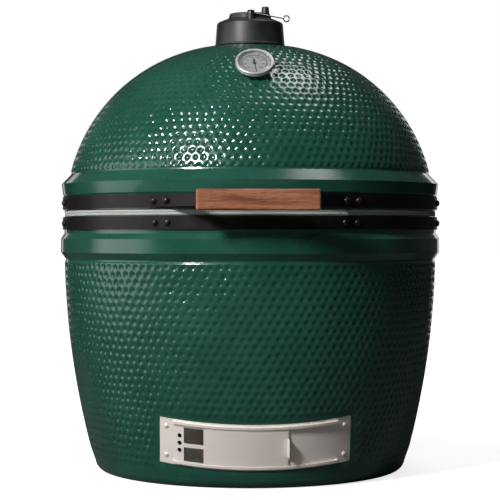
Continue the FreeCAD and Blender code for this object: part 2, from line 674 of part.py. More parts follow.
def hinge_ears(name, points, inner):
    """Two flat ears, one each side, from points (y, z) and the distance to the inner face."""
    ears = []
    for side in (1, -1):
        middle = f"{side} * ({inner} + Size.ear_thick / 2)"
        ears.append(padded(f"{name}_{'right' if side > 0 else 'left'}", points,
                           "Size.ear_thick", "YZ_Plane", place(middle, 0, 0)))
    return ears


def hinge_plate(name, low, high, half):
    return sector(name, "Fit.strap_inner", "Fit.strap_outer", low, high,
                  f"180 - {half}", f"180 + {half}")


def pin_hole(name, radius, y="Fit.pin_reach", z="Size.seam_height"):
    """Hole along X, right across the hinge."""
    reach = "(Fit.base_ear_x + Size.ear_thick + 10)"
    return rod(name, radius, f"2 * {reach}", place(f"-{reach}", y, z, turn("Y", 90)))


fit("base_ear_foot", "sqrt(Fit.plate_middle^2 - (Fit.base_ear_x + Size.ear_thick)^2)")
fit("dome_ear_foot", "sqrt(Fit.plate_middle^2 - (Size.ear_place + Size.ear_thick)^2)")
base_ears = hinge_ears("base_ear", [
    ("Fit.base_ear_foot", "Fit.lower_band_low"),
    ("Fit.pin_reach", "Size.seam_height - Size.ear_round - 6"),
    ("Fit.stop_y + Size.stop_round", "Fit.stop_z - 4", "90"),
    ("Fit.stop_y - Size.stop_round", "Fit.stop_z", "Size.stop_round * 1.06"),
    ("Fit.pin_reach - Size.ear_round", "Size.seam_height + 4", "-60"),
    ("Fit.base_ear_foot", "Fit.lower_band_top"),
], "Fit.base_ear_x")
base_plate = hinge_plate("base_plate", "Fit.lower_band_low", "Fit.lower_band_top",
                         "Size.base_plate_half")
base_bracket = joined("base_bracket_blank", [base_plate] + base_ears)
bracket_holes = bolt_holes("base_bracket", [(azimuth, "Fit.lower_bolt_z") for azimuth in REAR_BOLTS])
bracket_holes.append(pin_hole("base_pin_hole", "Size.pin_radius + Size.pin_clear"))
bracket_holes.append(pin_hole("stop_hole", "Size.stop_radius + Size.bolt_clear", "Fit.stop_y",
                              "Fit.stop_z"))
node("hinge_base_bracket", cut("hinge_base_bracket", base_bracket, bracket_holes))

dome_ears = hinge_ears("dome_ear", [
    ("Fit.dome_ear_foot", "Fit.upper_band_low"),
    ("Fit.pin_reach", "Size.seam_height - Size.ear_round"),
    ("Fit.pin_reach", "Size.seam_height + Size.ear_round", "Size.ear_round * 1.03"),
    ("Fit.dome_ear_foot", "Fit.upper_band_top"),
], "Size.ear_place")
dome_plate = hinge_plate("dome_plate", "Fit.upper_band_low", "Fit.upper_band_top",
                         "Size.dome_plate_half")
dome_bracket = joined("dome_bracket_blank", [dome_plate] + dome_ears)
bracket_holes = bolt_holes("dome_bracket", [(azimuth, "Fit.upper_bolt_z") for azimuth in REAR_BOLTS])
fit("bush_radius", "Size.pin_radius + Size.pin_clear + Size.bush_wall")
bracket_holes.append(pin_hole("dome_bush_hole", "Fit.bush_radius"))
node("hinge_dome_bracket", cut("hinge_dome_bracket", dome_bracket, bracket_holes))

band_bolts("hinge_base_bolts", REAR_BOLTS, "Fit.lower_bolt_z", "Fit.strap_outer")
band_bolts("hinge_dome_bolts", REAR_BOLTS, "Fit.upper_bolt_z", "Fit.strap_outer")

bushes = []
for name, facing, x in (("right", turn("Y", 90), "Size.ear_place"),
                        ("left", turn("Y", -90), "-Size.ear_place")):
    bushes.append(revolved(f"bush_{name}", [
        ("Size.pin_radius + Size.pin_clear", 0), ("Fit.bush_radius", 0),
        ("Fit.bush_radius", "Size.ear_thick"), ("Fit.bush_radius + 4", "Size.ear_thick"),
        ("Fit.bush_radius + 4", "Size.ear_thick + Size.bush_collar"),
        ("Size.pin_radius + Size.pin_clear", "Size.ear_thick + Size.bush_collar"),
    ], place(x, "Fit.pin_reach", "Size.seam_height", facing)))
node("hinge_bushes", group("hinge_bushes", bushes))

fit("pin_half", "Fit.base_ear_x + Size.ear_thick + Size.face_gap")
fit("pin_thread", "11")
node("hinge_pin", revolved("hinge_pin", [
    (0, "-Fit.pin_half - Size.head_height"),
    ("Size.pin_radius * 1.4", "-Fit.pin_half - Size.head_height"),
    ("Size.pin_radius * 1.6", "-Fit.pin_half - Size.head_height * 0.7"),
    ("Size.pin_radius * 1.6", "-Fit.pin_half"),
    ("Size.pin_radius", "-Fit.pin_half"),
    ("Size.pin_radius", "Fit.pin_half + Fit.pin_thread - 1"),
    ("Size.pin_radius - 1", "Fit.pin_half + Fit.pin_thread"),
    (0, "Fit.pin_half + Fit.pin_thread"),
], place(0, "Fit.pin_reach", "Size.seam_height", turn("Y", 90))))


def hexagon(across):
    """Corners of a hexagon of a size across its flats."""
    return [(f"({across}) / 2 / cos(30) * cos({angle})", f"({across}) / 2 / cos(30) * sin({angle})")
            for angle in range(0, 360, 60)]


def nut(name, across, tall, bore, where):
    """Hexagon nut that starts at its placement and runs along its Z."""
    blank = padded(name + "_hexagon", hexagon(across), tall, "XY_Plane",
                   f"{where} * {place(0, 0, f'({tall}) / 2')}")
    hole = rod(name + "_bore", bore, f"({tall}) + 4", f"{where} * {place(0, 0, -2)}")
    return cut(name, blank, [hole])


node("hinge_nut", nut("hinge_nut", "Size.pin_radius * 3.2", "Fit.pin_thread - 3",
                      "Size.pin_radius + Size.pin_clear",
                      place("Fit.pin_half", "Fit.pin_reach", "Size.seam_height", turn("Y", 90))))
node("hinge_stop_bolt", revolved("hinge_stop_bolt", [
    (0, "-Fit.pin_half - Size.head_height * 0.7"),
    ("Size.stop_radius * 1.6", "-Fit.pin_half - Size.head_height * 0.7"),
    ("Size.stop_radius * 1.6", "-Fit.pin_half"),
    ("Size.stop_radius", "-Fit.pin_half"),
    ("Size.stop_radius", "Fit.pin_half"),
    ("Size.stop_radius * 1.6", "Fit.pin_half"),
    ("Size.stop_radius * 1.6", "Fit.pin_half + Size.head_height * 0.7"),
    (0, "Fit.pin_half + Size.head_height * 0.7"),
], place(0, "Fit.stop_y", "Fit.stop_z", turn("Y", 90))))

# Two wound springs on the pin help with the lid's weight.
springs = []
for name, facing, x in (("right", turn("Y", 90), "Size.spring_inner"),
                        ("left", turn("Y", -90), "-Size.spring_inner")):
    body = doc.addObject("PartDesign::Body", f"spring_{name}")
    wire = outline(body, f"spring_{name}_wire", [
        ("Size.spring_radius - Size.spring_wire", 0, "-Size.spring_wire"),
        ("Size.spring_radius + Size.spring_wire", 0, "-Size.spring_wire")])
    coil = body.newObject("PartDesign::AdditiveHelix", f"spring_{name}_coil")
    coil.Profile = wire
    coil.ReferenceAxis = (wire, ["V_Axis"])
    coil.Mode = "pitch-height-angle"
    coil.setExpression("Pitch", "Size.spring_pitch")
    coil.setExpression("Height", "Size.spring_length")
    body.setExpression("Placement", place(x, "Fit.pin_reach", "Size.seam_height", facing))
    springs.append(body)
node("hinge_springs", group("hinge_springs", springs))

# Dial: a case on a stem through the dome, held inside by a clip. Heights are along its own axis.

fit("dial_front", "Size.dial_back + Size.dial_deep")
fit("dial_bore", "Size.dial_radius - Size.dial_wall")
fit("glass_top", "Fit.dial_front - 2.2")
node("dial_case", revolved("dial_case", [
    ("Size.stem_radius + Size.bolt_clear", "Size.dial_back"),
    ("Size.dial_radius - 9", "Size.dial_back"),
    ("Size.dial_radius", "Size.dial_back + 6", "11"),
    ("Size.dial_radius", "Fit.dial_front - 2"),
    ("Size.dial_radius - 2", "Fit.dial_front", "2.1"),
    ("Fit.dial_bore - Size.dial_lip + 0.8", "Fit.dial_front"),
    ("Fit.dial_bore - Size.dial_lip", "Fit.glass_top"),
    ("Fit.dial_bore", "Fit.glass_top"),
    ("Fit.dial_bore", "Size.dial_back + 6"),
    ("Fit.dial_bore - 5", "Size.dial_back + 1.5", "-7"),
    ("Size.stem_radius + Size.bolt_clear", "Size.dial_back + 1.5"),
], DIAL_FRAME))
node("dial_glass", revolved("dial_glass", [
    (0, "Fit.glass_top - 1.6"), ("Fit.dial_bore - 0.1", "Fit.glass_top - 1.6"),
    ("Fit.dial_bore - 0.1", "Fit.glass_top - 0.05"), (0, "Fit.glass_top - 0.05"),
], DIAL_FRAME))
fit("face_top", "Size.dial_back + 7.5")
node("dial_face", revolved("dial_face", [
    ("Size.stem_radius - 1", "Fit.face_top - 1"), ("Fit.dial_bore - 0.1", "Fit.face_top - 1"),
    ("Fit.dial_bore - 0.1", "Fit.face_top"), ("Size.stem_radius - 1", "Fit.face_top"),
], DIAL_FRAME))
node("dial_stem", revolved("dial_stem", [
    (0, "-Size.stem_length"), ("Size.stem_radius - 1", "-Size.stem_length"),
    ("Size.stem_radius", "-Size.stem_length + 6"), ("Size.stem_radius", "3.5"),
    ("Size.boss_radius", "3.5"), ("Size.boss_radius", "Size.dial_back - 0.1"),
    ("Size.stem_radius", "Size.dial_back - 0.1"), ("Size.stem_radius", "Fit.face_top - 1.6"),
    ("Size.stem_radius - 3", "Fit.face_top - 1.6"), ("Size.stem_radius - 3", "Fit.face_top + 2.2"),
    (0, "Fit.face_top + 2.2"),
], DIAL_FRAME))
node("dial_clip", revolved("dial_clip", [
    ("Size.stem_radius + 0.1", "-Size.dome_wall - 8"), ("13", "-Size.dome_wall - 8"),
    ("15", "-Size.dome_wall - 4"), ("13", "-Size.dome_wall - 6"),
    ("Size.stem_radius + 0.1", "-Size.dome_wall - 6"),
], DIAL_FRAME))
needle_hub = revolved("needle_hub", [
    ("Size.stem_radius - 2.7", "Fit.face_top + 0.5"), ("3.2", "Fit.face_top + 0.5"),
    ("3.2", "Fit.face_top + 2"), ("Size.stem_radius - 2.7", "Fit.face_top + 2")], DIAL_FRAME)
needle_blade = padded("needle_blade", [
    ("-1.1", "2"), ("-0.3", "-Size.needle_length"), ("0.3", "-Size.needle_length"), ("1.1", "2"),
    ("1.9", "Size.needle_tail"), ("-1.9", "Size.needle_tail")], "0.8", "XY_Plane",
    f"{DIAL_FRAME} * {place(0, 0, 'Fit.face_top + 1.2', turn('Z', 'Size.needle_lean'))}")
needle_bore = rod("needle_bore", "Size.stem_radius - 2.7", "6",
                  f"{DIAL_FRAME} * {place(0, 0, 'Fit.face_top - 1')}")
node("dial_needle", cut("dial_needle", joined("needle_blank", [needle_hub, needle_blade]),
                        [needle_bore]))

# Vent cap: a cast hood over the neck, with a disc that swings aside and a wheel that turns on it.

fit("cap_low", dome_height("Size.cap_radius") + " + Size.cap_clear")
fit("cap_ceiling", "Fit.chimney_top + Size.cap_seat")
fit("deck_z", "Fit.cap_low + Size.cap_deck")
fit("chimney_felt", "Size.cap_bore - Size.felt_clear")
node("vent_gasket", revolved("vent_gasket", [
    ("Size.chimney_radius", "Fit.cap_low + 6"), ("Fit.chimney_felt", "Fit.cap_low + 6"),
    ("Fit.chimney_felt", "Fit.chimney_top - 2"), ("Size.chimney_radius", "Fit.chimney_top - 2")]))
hood = revolved("hood", [
    ("Size.cap_bore", "Fit.cap_low"),
    ("Size.cap_radius", "Fit.cap_low"),
    ("Size.cap_radius", "Fit.cap_low + 2.5"),
    ("Size.cap_radius - 0.8", "Fit.cap_low + 3.5"),
    ("Size.cap_top_radius", "Fit.cap_low + Size.cap_skirt"),
    ("Size.deck_radius + 17", "Fit.deck_z - 7", "7"),
    ("Size.deck_radius", "Fit.deck_z"),
    ("Size.deck_hole", "Fit.deck_z"),
    ("Size.deck_hole", "Fit.deck_z - 6"),
    ("Size.chimney_bore", "Fit.cap_ceiling"),
    ("Size.cap_bore", "Fit.cap_ceiling"),
])
pivot_at = ("0", "-Size.pivot_reach")
boss = rod("pivot_boss", "Size.pivot_boss", "Fit.deck_z - Fit.cap_ceiling - 3",
           place(*pivot_at, "Fit.cap_ceiling + 3"))
pivot_tap = rod("pivot_tap", "Size.pivot_radius + Size.pin_clear", "12",
                place(*pivot_at, "Fit.deck_z - 10"))
node("vent_collar", cut("vent_collar", joined("collar_blank", [hood, boss]), [pivot_tap]))

fit("disc_low", "Fit.deck_z + Size.disc_clear")
fit("disc_top", "Fit.disc_low + Size.disc_thick")
fit("wheel_low", "Fit.disc_top + Size.disc_clear")
fit("wheel_top", "Fit.wheel_low + Size.wheel_thick")


def vent_holes(name, low, tall):
    """Ring of round holes, and the middle hole for the rivet, through a disc."""
    holes = [rod(f"{name}_middle", "Size.pivot_radius + Size.pin_clear", tall, place(0, 0, low))]
    for index in range(VENT_HOLES):
        azimuth = f"({index} + 0.5) * 360 / {VENT_HOLES}"
        holes.append(rod(f"{name}_hole_{index + 1}", "Size.vent_hole", tall,
                         place(f"Size.vent_ring * cos({azimuth})",
                               f"Size.vent_ring * sin({azimuth})", low)))
    return holes


disc_plate = rod("disc_plate", "Size.disc_radius", "Size.disc_thick", place(0, 0, "Fit.disc_low"))
disc_ear = rod("disc_ear", "Size.pivot_boss", "Size.disc_thick", place(*pivot_at, "Fit.disc_low"))
disc_neck = block("disc_neck", ("-Size.pivot_boss", "-Size.pivot_reach", "Fit.disc_low"),
                  ("Size.pivot_boss", "-Size.disc_radius / 2", "Fit.disc_top"))
disc_tools = vent_holes("disc", "Fit.disc_low - 1", "Size.disc_thick + 2")
disc_tools.append(rod("disc_pivot_hole", "Size.pivot_radius + Size.pin_clear",
                      "Size.disc_thick + 2", place(*pivot_at, "Fit.disc_low - 1")))
node("vent_disc", cut("vent_disc", joined("disc_blank", [disc_plate, disc_ear, disc_neck]),
                      disc_tools))

fit("eye_z", "Fit.disc_top + Size.eye_lift + Size.wire_radius")
fit("head_z", "Fit.eye_z + Size.wire_radius + Size.disc_clear")
node("vent_pivot_screw", revolved("vent_pivot_screw", [
    (0, "Fit.deck_z - 9"), ("Size.pivot_radius", "Fit.deck_z - 9"),
    ("Size.pivot_radius", "Fit.head_z"), ("Size.pivot_head", "Fit.head_z"),
    ("Size.pivot_head", "Fit.head_z + 2"), ("Size.pivot_head - 2", "Fit.head_z + 4", "3"),
    (0, "Fit.head_z + 4"),
], place(*pivot_at, 0)))

fit("eye_radius", "Size.pivot_radius + Size.wire_radius + Size.disc_clear")
fit("loop_z", "Fit.eye_z - Size.loop_drop")
loop_turn = "atan2(Size.loop_y + Size.pivot_reach; Size.loop_x)"
fit("loop_lean", loop_turn)
wire_start = ("Fit.eye_radius * cos(Fit.loop_lean)",
              "-Size.pivot_reach + Fit.eye_radius * sin(Fit.loop_lean)", "Fit.eye_z")
wire_end = ("Size.loop_x - Size.loop_radius * cos(Fit.loop_lean)",
            "Size.loop_y - Size.loop_radius * sin(Fit.loop_lean)", "Fit.loop_z")


def bar(name, radius, start, end):
    """Round bar between two points."""
    run = [f"({high}) - ({low})" for low, high in zip(start, end)]
    length = f"sqrt(({run[0]})^2 + ({run[1]})^2 + ({run[2]})^2)"
    facing = f"rotation(vector(-({run[1]}); {run[0]}; 0); acos(({run[2]}) / {length}))"
    return rod(name, radius, length, place(*start, facing))


handle_eye = ring("handle_eye", "Fit.eye_radius", "Size.wire_radius",
                  place(*pivot_at, "Fit.eye_z"))
handle_loop = ring("handle_loop", "Size.loop_radius", "Size.wire_radius",
                   place("Size.loop_x", "Size.loop_y", "Fit.loop_z",
                         turn("Z", "Fit.loop_lean") + " * " + turn("X", 90)))
handle_wire = bar("handle_wire", "Size.wire_radius", wire_start, wire_end)
node("vent_handle", joined("vent_handle", [handle_eye, handle_wire, handle_loop]))

wheel_blank = revolved("wheel_blank", [
    (0, "Fit.wheel_low"), ("Size.wheel_radius", "Fit.wheel_low"),
    ("Size.wheel_radius", "Fit.wheel_top - 2"), ("Size.wheel_radius - 2", "Fit.wheel_top", "2.1"),
    (0, "Fit.wheel_top")])
knob_at = ("Size.knob_place_x", "Size.knob_place_y")
node("damper_wheel", cut("damper_wheel", wheel_blank,
                         vent_holes("wheel", "Fit.wheel_low - 1", "Size.wheel_thick + 2")))
node("damper_rivet", revolved("damper_rivet", [
    (0, "Fit.disc_low + 1"), ("Size.pivot_radius", "Fit.disc_low + 1"),
    ("Size.pivot_radius", "Fit.wheel_top + Size.disc_clear"),
    ("Size.pivot_radius * 1.9", "Fit.wheel_top + Size.disc_clear"),
    ("Size.pivot_radius * 1.9", "Fit.wheel_top + 1.6"),
    ("Size.pivot_radius", "Fit.wheel_top + 3.2", "4"),
    (0, "Fit.wheel_top + 3.2")]))
node("damper_knob", revolved("damper_knob", [
    (0, "Fit.wheel_top"), ("Size.knob_base", "Fit.wheel_top"),
    ("Size.knob_top", "Fit.wheel_top + Size.knob_tall - 1.5"),
    ("Size.knob_top - 1.5", "Fit.wheel_top + Size.knob_tall", "1.6"),
    (0, "Fit.wheel_top + Size.knob_tall")], place(*knob_at, 0)))

# Draft door: a frame on the seat with two rails. The spark screen slides behind the door.

fit("mesh_inner", "Fit.frame_outer + Size.slide_gap")
fit("screen_inner", "Fit.mesh_inner + Size.mesh_thick")
fit("screen_outer", "Fit.screen_inner + Size.sheet_thick")
fit("door_inner", "Fit.screen_outer + Size.slide_gap")
fit("door_outer", "Fit.door_inner + Size.sheet_thick")
fit("lip_inner", "Fit.door_outer + Size.slide_gap")
fit("rail_outer", "Fit.lip_inner + Size.rail_thick")
fit("sheet_half", "Size.rail_rise - Size.sheet_clear")


def draft_sector(name, inner, outer, low, high, left, right):
    return sector(name, inner, outer, low, high, left, right, DRAFT_FRAME)


frame_pieces = [draft_sector("frame_plate", "Fit.frame_inner", "Fit.frame_outer",
                             "-Size.frame_half_tall", "Size.frame_half_tall",
                             "-Size.frame_half_angle", "Size.frame_half_angle")]
for name, web_low, web_high, lip_low, lip_high in (
        ("top", "Size.rail_rise", "Size.rail_rise + Size.rail_thick",
         "Size.rail_rise - Size.rail_lip", "Size.rail_rise + Size.rail_thick"),
        ("bottom", "-Size.rail_rise - Size.rail_thick", "-Size.rail_rise",
         "-Size.rail_rise - Size.rail_thick", "-Size.rail_rise + Size.rail_lip")):
    frame_pieces.append(draft_sector(f"{name}_web", "Fit.frame_inner", "Fit.rail_outer",
                                     web_low, web_high,
                                     "-Size.rail_half_angle", "Size.rail_half_angle"))
    frame_pieces.append(draft_sector(f"{name}_lip", "Fit.lip_inner", "Fit.rail_outer",
                                     lip_low, lip_high,
                                     "-Size.rail_half_angle", "Size.rail_half_angle"))
    for side, left, right in (("left", "-Size.rail_half_angle", "-Size.rail_half_angle + 0.3"),
                              ("right", "Size.rail_half_angle - 0.3", "Size.rail_half_angle")):
        frame_pieces.append(draft_sector(f"{name}_{side}_stop", "Fit.frame_inner",
                                         "Fit.rail_outer", lip_low, lip_high, left, right))
frame_blank = joined("frame_blank", frame_pieces)
frame_hole = draft_sector("frame_hole", "Fit.frame_inner - 5", "Fit.frame_outer + 0.2",
                          "Size.hole_low - 0.5", "Size.hole_high + 0.5",
                          "Size.hole_left - 0.2", "Size.hole_right + 0.2")
node("draft_frame", cut("draft_frame", frame_blank, [frame_hole] + draft_screw_holes("frame")))
draft_screws = []
for index, (azimuth, rise) in enumerate(DRAFT_SCREWS, 1):
    draft_screws.append(bolt(f"draft_screw_{index}", "Size.draft_screw_radius",
                             "Fit.draft_screw_depth", "Size.draft_head_radius",
                             "Size.draft_head_radius * 0.6",
                             draft_place(azimuth, "Fit.frame_outer + Size.face_gap", rise)))
node("draft_screws", group("draft_screws", draft_screws))

door_plate = draft_sector("door_plate", "Fit.door_inner", "Fit.door_outer", "-Fit.sheet_half",
                          "Fit.sheet_half", "Size.door_left", "Size.door_right")
door_tab = draft_sector("door_tab", "Fit.door_inner", "Fit.door_inner + Size.tab_out",
                        "Size.tab_low", "Size.tab_high", "Size.door_right - 0.2",
                        "Size.door_right")
node("draft_door", joined("draft_door", [door_plate, door_tab]))

screen_plate = draft_sector("screen_plate", "Fit.screen_inner", "Fit.screen_outer",
                            "-Fit.sheet_half", "Fit.sheet_half", "Size.screen_left",
                            "Size.screen_right")
windows = []
for column in range(3):
    left = f"Size.window_first + {column} * Size.window_pitch"
    for row, (low, high) in enumerate((("Size.window_bottom", "Size.window_lower"),
                                       ("Size.window_upper", "Size.window_top")), 1):
        windows.append(draft_sector(f"window_{column + 1}_{row}", "Fit.screen_inner - 2",
                                    "Fit.screen_outer + 2", low, high, left,
                                    f"{left} + Size.window_wide"))
vent_azimuth = "(Size.screen_left + Size.window_first) / 2"
for index in range(3):
    windows.append(rod(f"screen_hole_{index + 1}", "Size.screen_hole", "12",
                       draft_place(vent_azimuth, "Fit.screen_inner - 6",
                                   f"{index - 1} * Size.screen_hole_pitch")))
node("spark_screen", cut("spark_screen", screen_plate, windows))
node("spark_mesh", draft_sector(
    "spark_mesh", "Fit.mesh_inner", "Fit.screen_inner", "Size.window_bottom - 1.5",
    "Size.window_top + 1.5", "Size.window_first - 0.4",
    "Size.window_first + 2 * Size.window_pitch + Size.window_wide + 0.4"))

# Firebox: a bowl with a grate over its hole, a ring on it and the cooking grid on the ring.

fit("bowl_low", "Size.floor_thick + Size.bowl_lift")
fit("bowl_high", "Size.seam_height - Size.bowl_drop")
fit("grate_ledge", "Fit.bowl_low + Size.grate_rise")
fit("grate_seat", "Size.grate_radius + Size.grate_clear")
bowl_blank = revolved("bowl_blank", [
    ("Size.bowl_foot - Size.bowl_wall", "Fit.bowl_low"),
    ("Size.bowl_foot", "Fit.bowl_low"),
    ("Size.bowl_waist", "Fit.grate_ledge"),
    ("Size.bowl_shoulder", "Fit.bowl_high - Size.shoulder_drop", "700"),
    ("Size.bowl_top", "Fit.bowl_high"),
    ("Size.bowl_top - Size.bowl_wall", "Fit.bowl_high"),
    ("Size.bowl_shoulder - Size.bowl_wall", "Fit.bowl_high - Size.shoulder_drop"),
    ("Size.bowl_waist - Size.bowl_wall + 4", "Fit.grate_ledge + 24", "-700"),
    ("Fit.grate_seat", "Fit.grate_ledge + Size.grate_thick + 1"),
    ("Fit.grate_seat", "Fit.grate_ledge"),
    ("Fit.grate_seat - Size.ledge_wide", "Fit.grate_ledge"),
    ("Fit.grate_seat - Size.ledge_wide", "Fit.grate_ledge - Size.bowl_wall"),
    ("Size.bowl_waist - Size.bowl_wall - 3", "Fit.grate_ledge - Size.bowl_wall"),
])
ash_door = block("ash_door", ("-150", "-Size.bowl_waist - 10", "Fit.bowl_low - 1"),
                 ("10", "-Size.bowl_foot + Size.bowl_wall * 2 + 20",
                  "Fit.grate_ledge - Size.bowl_wall - 12"))
bowl_holes = [ash_door]
for index in range(AIR_HOLES):
    azimuth = f"{index} * 360 / {AIR_HOLES}"
    bowl_holes.append(rod(f"air_hole_{index + 1}", "Size.air_hole", "Size.bowl_wall * 4",
                          outward(azimuth, "Size.bowl_waist - Size.bowl_wall * 2",
                                  "Fit.bowl_low + Size.air_rise")))
node("fire_bowl", cut("fire_bowl", bowl_blank, bowl_holes))

grate_low = "Fit.grate_ledge + 0.1"
grate_plate = rod("grate_plate", "Size.grate_radius", "Size.grate_thick", place(0, 0, grate_low))
slot_count = int(number("(Size.grate_radius - 20) / Size.slot_pitch"))
slots = []
for index in range(-slot_count, slot_count + 1):
    x = f"{index} * Size.slot_pitch"
    half = f"sqrt((Size.grate_radius - 14)^2 - (abs({x}) + Size.slot_wide / 2)^2)"
    for side, low, high in (("front", f"-{half}", "-5"), ("back", "5", half)):
        slots.append(block(f"slot_{side}_{index + slot_count}",
                           (f"{x} - Size.slot_wide / 2", low, f"{grate_low} - 1"),
                           (f"{x} + Size.slot_wide / 2", high,
                            f"{grate_low} + Size.grate_thick + 1")))
node("fire_grate", cut("fire_grate", grate_plate, slots))

fit("ring_low", "Fit.bowl_high + 0.1")
fit("ring_high", "Fit.ring_low + Size.ring_tall")
node("fire_ring", revolved("fire_ring", [
    ("Size.ring_radius - Size.ring_wall", "Fit.ring_low"), ("Size.ring_radius", "Fit.ring_low"),
    ("Size.ring_radius", "Fit.ring_high - 3"), ("Size.ring_radius - 3", "Fit.ring_high", "3.2"),
    ("Size.ring_radius - Size.ring_wall + 3", "Fit.ring_high"),
    ("Size.ring_radius - Size.ring_wall", "Fit.ring_high - 3", "3.2")]))

fit("brace_z", "Fit.ring_high + 0.1 + Size.grid_brace")
fit("rod_z", "Fit.brace_z + Size.grid_brace + Size.grid_rod - Size.weld_sink")
grid_pieces = [ring("grid_rim", "Size.grid_radius", "Size.grid_rim_wire",
                    place(0, 0, "Fit.rod_z"))]
rod_count = int(number("(Size.grid_radius - 18) / Size.grid_pitch"))
for index in range(-rod_count, rod_count + 1):
    x = f"{index} * Size.grid_pitch"
    half = f"sqrt(Size.grid_radius^2 - ({x})^2)"
    grid_pieces.append(rod(f"grid_rod_{index + rod_count}", "Size.grid_rod", f"2 * {half}",
                           place(x, half, "Fit.rod_z", FORWARD)))
for index in (-1, 0, 1):
    y = f"{index} * Size.grid_brace_place"
    half = f"(sqrt(Size.grid_radius^2 - ({y})^2) - Size.grid_rim_wire)"
    grid_pieces.append(rod(f"grid_brace_{index + 2}", "Size.grid_brace", f"2 * {half}",
                           place(f"-{half}", y, "Fit.brace_z", turn("Y", 90))))
node("cooking_grid", joined("cooking_grid", grid_pieces))

# Check everything, then write one file for each sub-part.

doc.recompute()
failed = [item.Name for item in doc.Objects if "Invalid" in item.State or "Error" in item.State]
if failed:
    raise RuntimeError("failed: " + ", ".join(failed))
for name, shape in nodes.items():
    if shape.Label != name:
        raise RuntimeError("%s is labelled %s" % (name, shape.Label))
    if shape.Shape.isNull() or not shape.Shape.isValid() or not shape.Shape.Solids:
        raise RuntimeError("%s has no valid solid" % name)

os.makedirs("parts", exist_ok=True)
for name, shape in nodes.items():
    shape.Shape.exportStep("parts/%s.step" % name)
    print("%-20s %2d solids %10.1f cm3" % (name, len(shape.Shape.Solids),
                                           shape.Shape.Volume / 1000))
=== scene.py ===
import math

import bpy
import numpy as np
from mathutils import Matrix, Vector


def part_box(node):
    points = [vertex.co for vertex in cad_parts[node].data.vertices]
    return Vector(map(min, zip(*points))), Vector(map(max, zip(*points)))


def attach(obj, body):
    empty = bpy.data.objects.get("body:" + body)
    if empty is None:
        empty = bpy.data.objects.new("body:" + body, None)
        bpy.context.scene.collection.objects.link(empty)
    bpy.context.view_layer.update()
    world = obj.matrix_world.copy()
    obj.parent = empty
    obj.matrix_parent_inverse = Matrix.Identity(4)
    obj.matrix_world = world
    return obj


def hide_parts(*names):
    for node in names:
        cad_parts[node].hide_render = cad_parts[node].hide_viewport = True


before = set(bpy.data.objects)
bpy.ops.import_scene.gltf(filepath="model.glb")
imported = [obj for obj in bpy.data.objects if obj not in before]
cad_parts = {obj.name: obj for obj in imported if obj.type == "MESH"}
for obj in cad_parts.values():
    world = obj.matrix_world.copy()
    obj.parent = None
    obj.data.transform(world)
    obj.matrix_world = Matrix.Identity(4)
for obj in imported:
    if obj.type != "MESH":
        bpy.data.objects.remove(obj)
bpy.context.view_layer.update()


# Base: a thick-walled ceramic pot, slip cast, dimpled all over its outside while wet, then dipped in a
# glossy green glaze that pools darker in each dimple. It stands on its own glazed foot.
class Amount:
    """One number that changes over a surface. Arithmetic on it adds Math nodes."""

    def __init__(self, finish, socket):
        self.finish = finish
        self.socket = socket

    def math(self, operation, *others):
        inputs = dict(enumerate((self,) + others))
        return self.finish.node("ShaderNodeMath", {"operation": operation}, inputs)

    def __add__(self, other):
        return self.math("ADD", other)

    __radd__ = __add__

    def __mul__(self, other):
        return self.math("MULTIPLY", other)

    __rmul__ = __mul__

    def __sub__(self, other):
        return self.math("SUBTRACT", other)

    def __rsub__(self, other):
        return self * -1 + other


class Finish:
    """A material made of one Principled shader: constants on its sockets, patterns through nodes."""

    def __init__(self, name, **constants):
        self.material = bpy.data.materials.new(name)
        self.material.use_nodes = True
        self.nodes = self.material.node_tree.nodes
        self.links = self.material.node_tree.links
        self.shader = self.nodes["Principled BSDF"]
        self.set(**constants)

    def feed(self, socket, value):
        if isinstance(value, Amount):
            self.links.new(value.socket, socket)
        elif socket.type == "RGBA" and len(value) == 3:
            socket.default_value = (*value, 1)
        else:
            socket.default_value = value

    def set(self, **values):
        for name, value in values.items():
            self.feed(self.shader.inputs[name.replace("_", " ").title().replace("Ior", "IOR")], value)
        return self

    def node(self, kind, settings=None, inputs=None, out=0):
        """Any node: its settings first, then its sockets' values or links. out picks the result."""
        made = self.nodes.new(kind)
        for name, value in (settings or {}).items():
            setattr(made, name, value)
        for name, value in (inputs or {}).items():
            self.feed(made.inputs[name], value)
        return Amount(self, made.outputs[out])

    def place(self, scale=(1, 1, 1)):
        """Object coordinates in metres, scaled."""
        here = self.node("ShaderNodeTexCoord", out="Object")
        if scale == (1, 1, 1):
            return here
        return self.node("ShaderNodeMapping", {}, {"Vector": here, "Scale": scale})

    def across(self):
        """The three Object coordinates as three amounts."""
        split = self.node("ShaderNodeSeparateXYZ", {}, {0: self.place()})
        made = split.socket.node
        return [Amount(self, made.outputs[axis]) for axis in range(3)]

    def noise(self, scale, detail=3.0, rough=0.5, stretch=(1, 1, 1)):
        """Fractal noise about 0.5, with scale in patches per metre before the stretch."""
        return self.node("ShaderNodeTexNoise", {"normalize": True}, {
            "Vector": self.place(stretch), "Scale": scale, "Detail": detail, "Roughness": rough})

    def between(self, amount, low, high, first=0.0, last=1.0):
        """amount from low to high becomes first to last, clamped."""
        return self.node("ShaderNodeMapRange", {"clamp": True}, {
            0: amount, 1: low, 2: high, 3: first, 4: last})

    def mix(self, share, first, second):
        """Two colours mixed by share."""
        return self.node("ShaderNodeMix", {"data_type": "RGBA", "clamp_factor": True},
                         {0: share, 6: first, 7: second}, out=2)

    def bump(self, height, depth, strength=1.0, under=None):
        """Height in shares of depth (metres) tips the shader's normal, on top of another bump if given."""
        inputs = {"Height": height, "Distance": depth, "Strength": strength}
        if under is not None:
            inputs["Normal"] = under
        tipped = self.node("ShaderNodeBump", {}, inputs)
        self.links.new(tipped.socket, self.shader.inputs["Normal"])
        return tipped


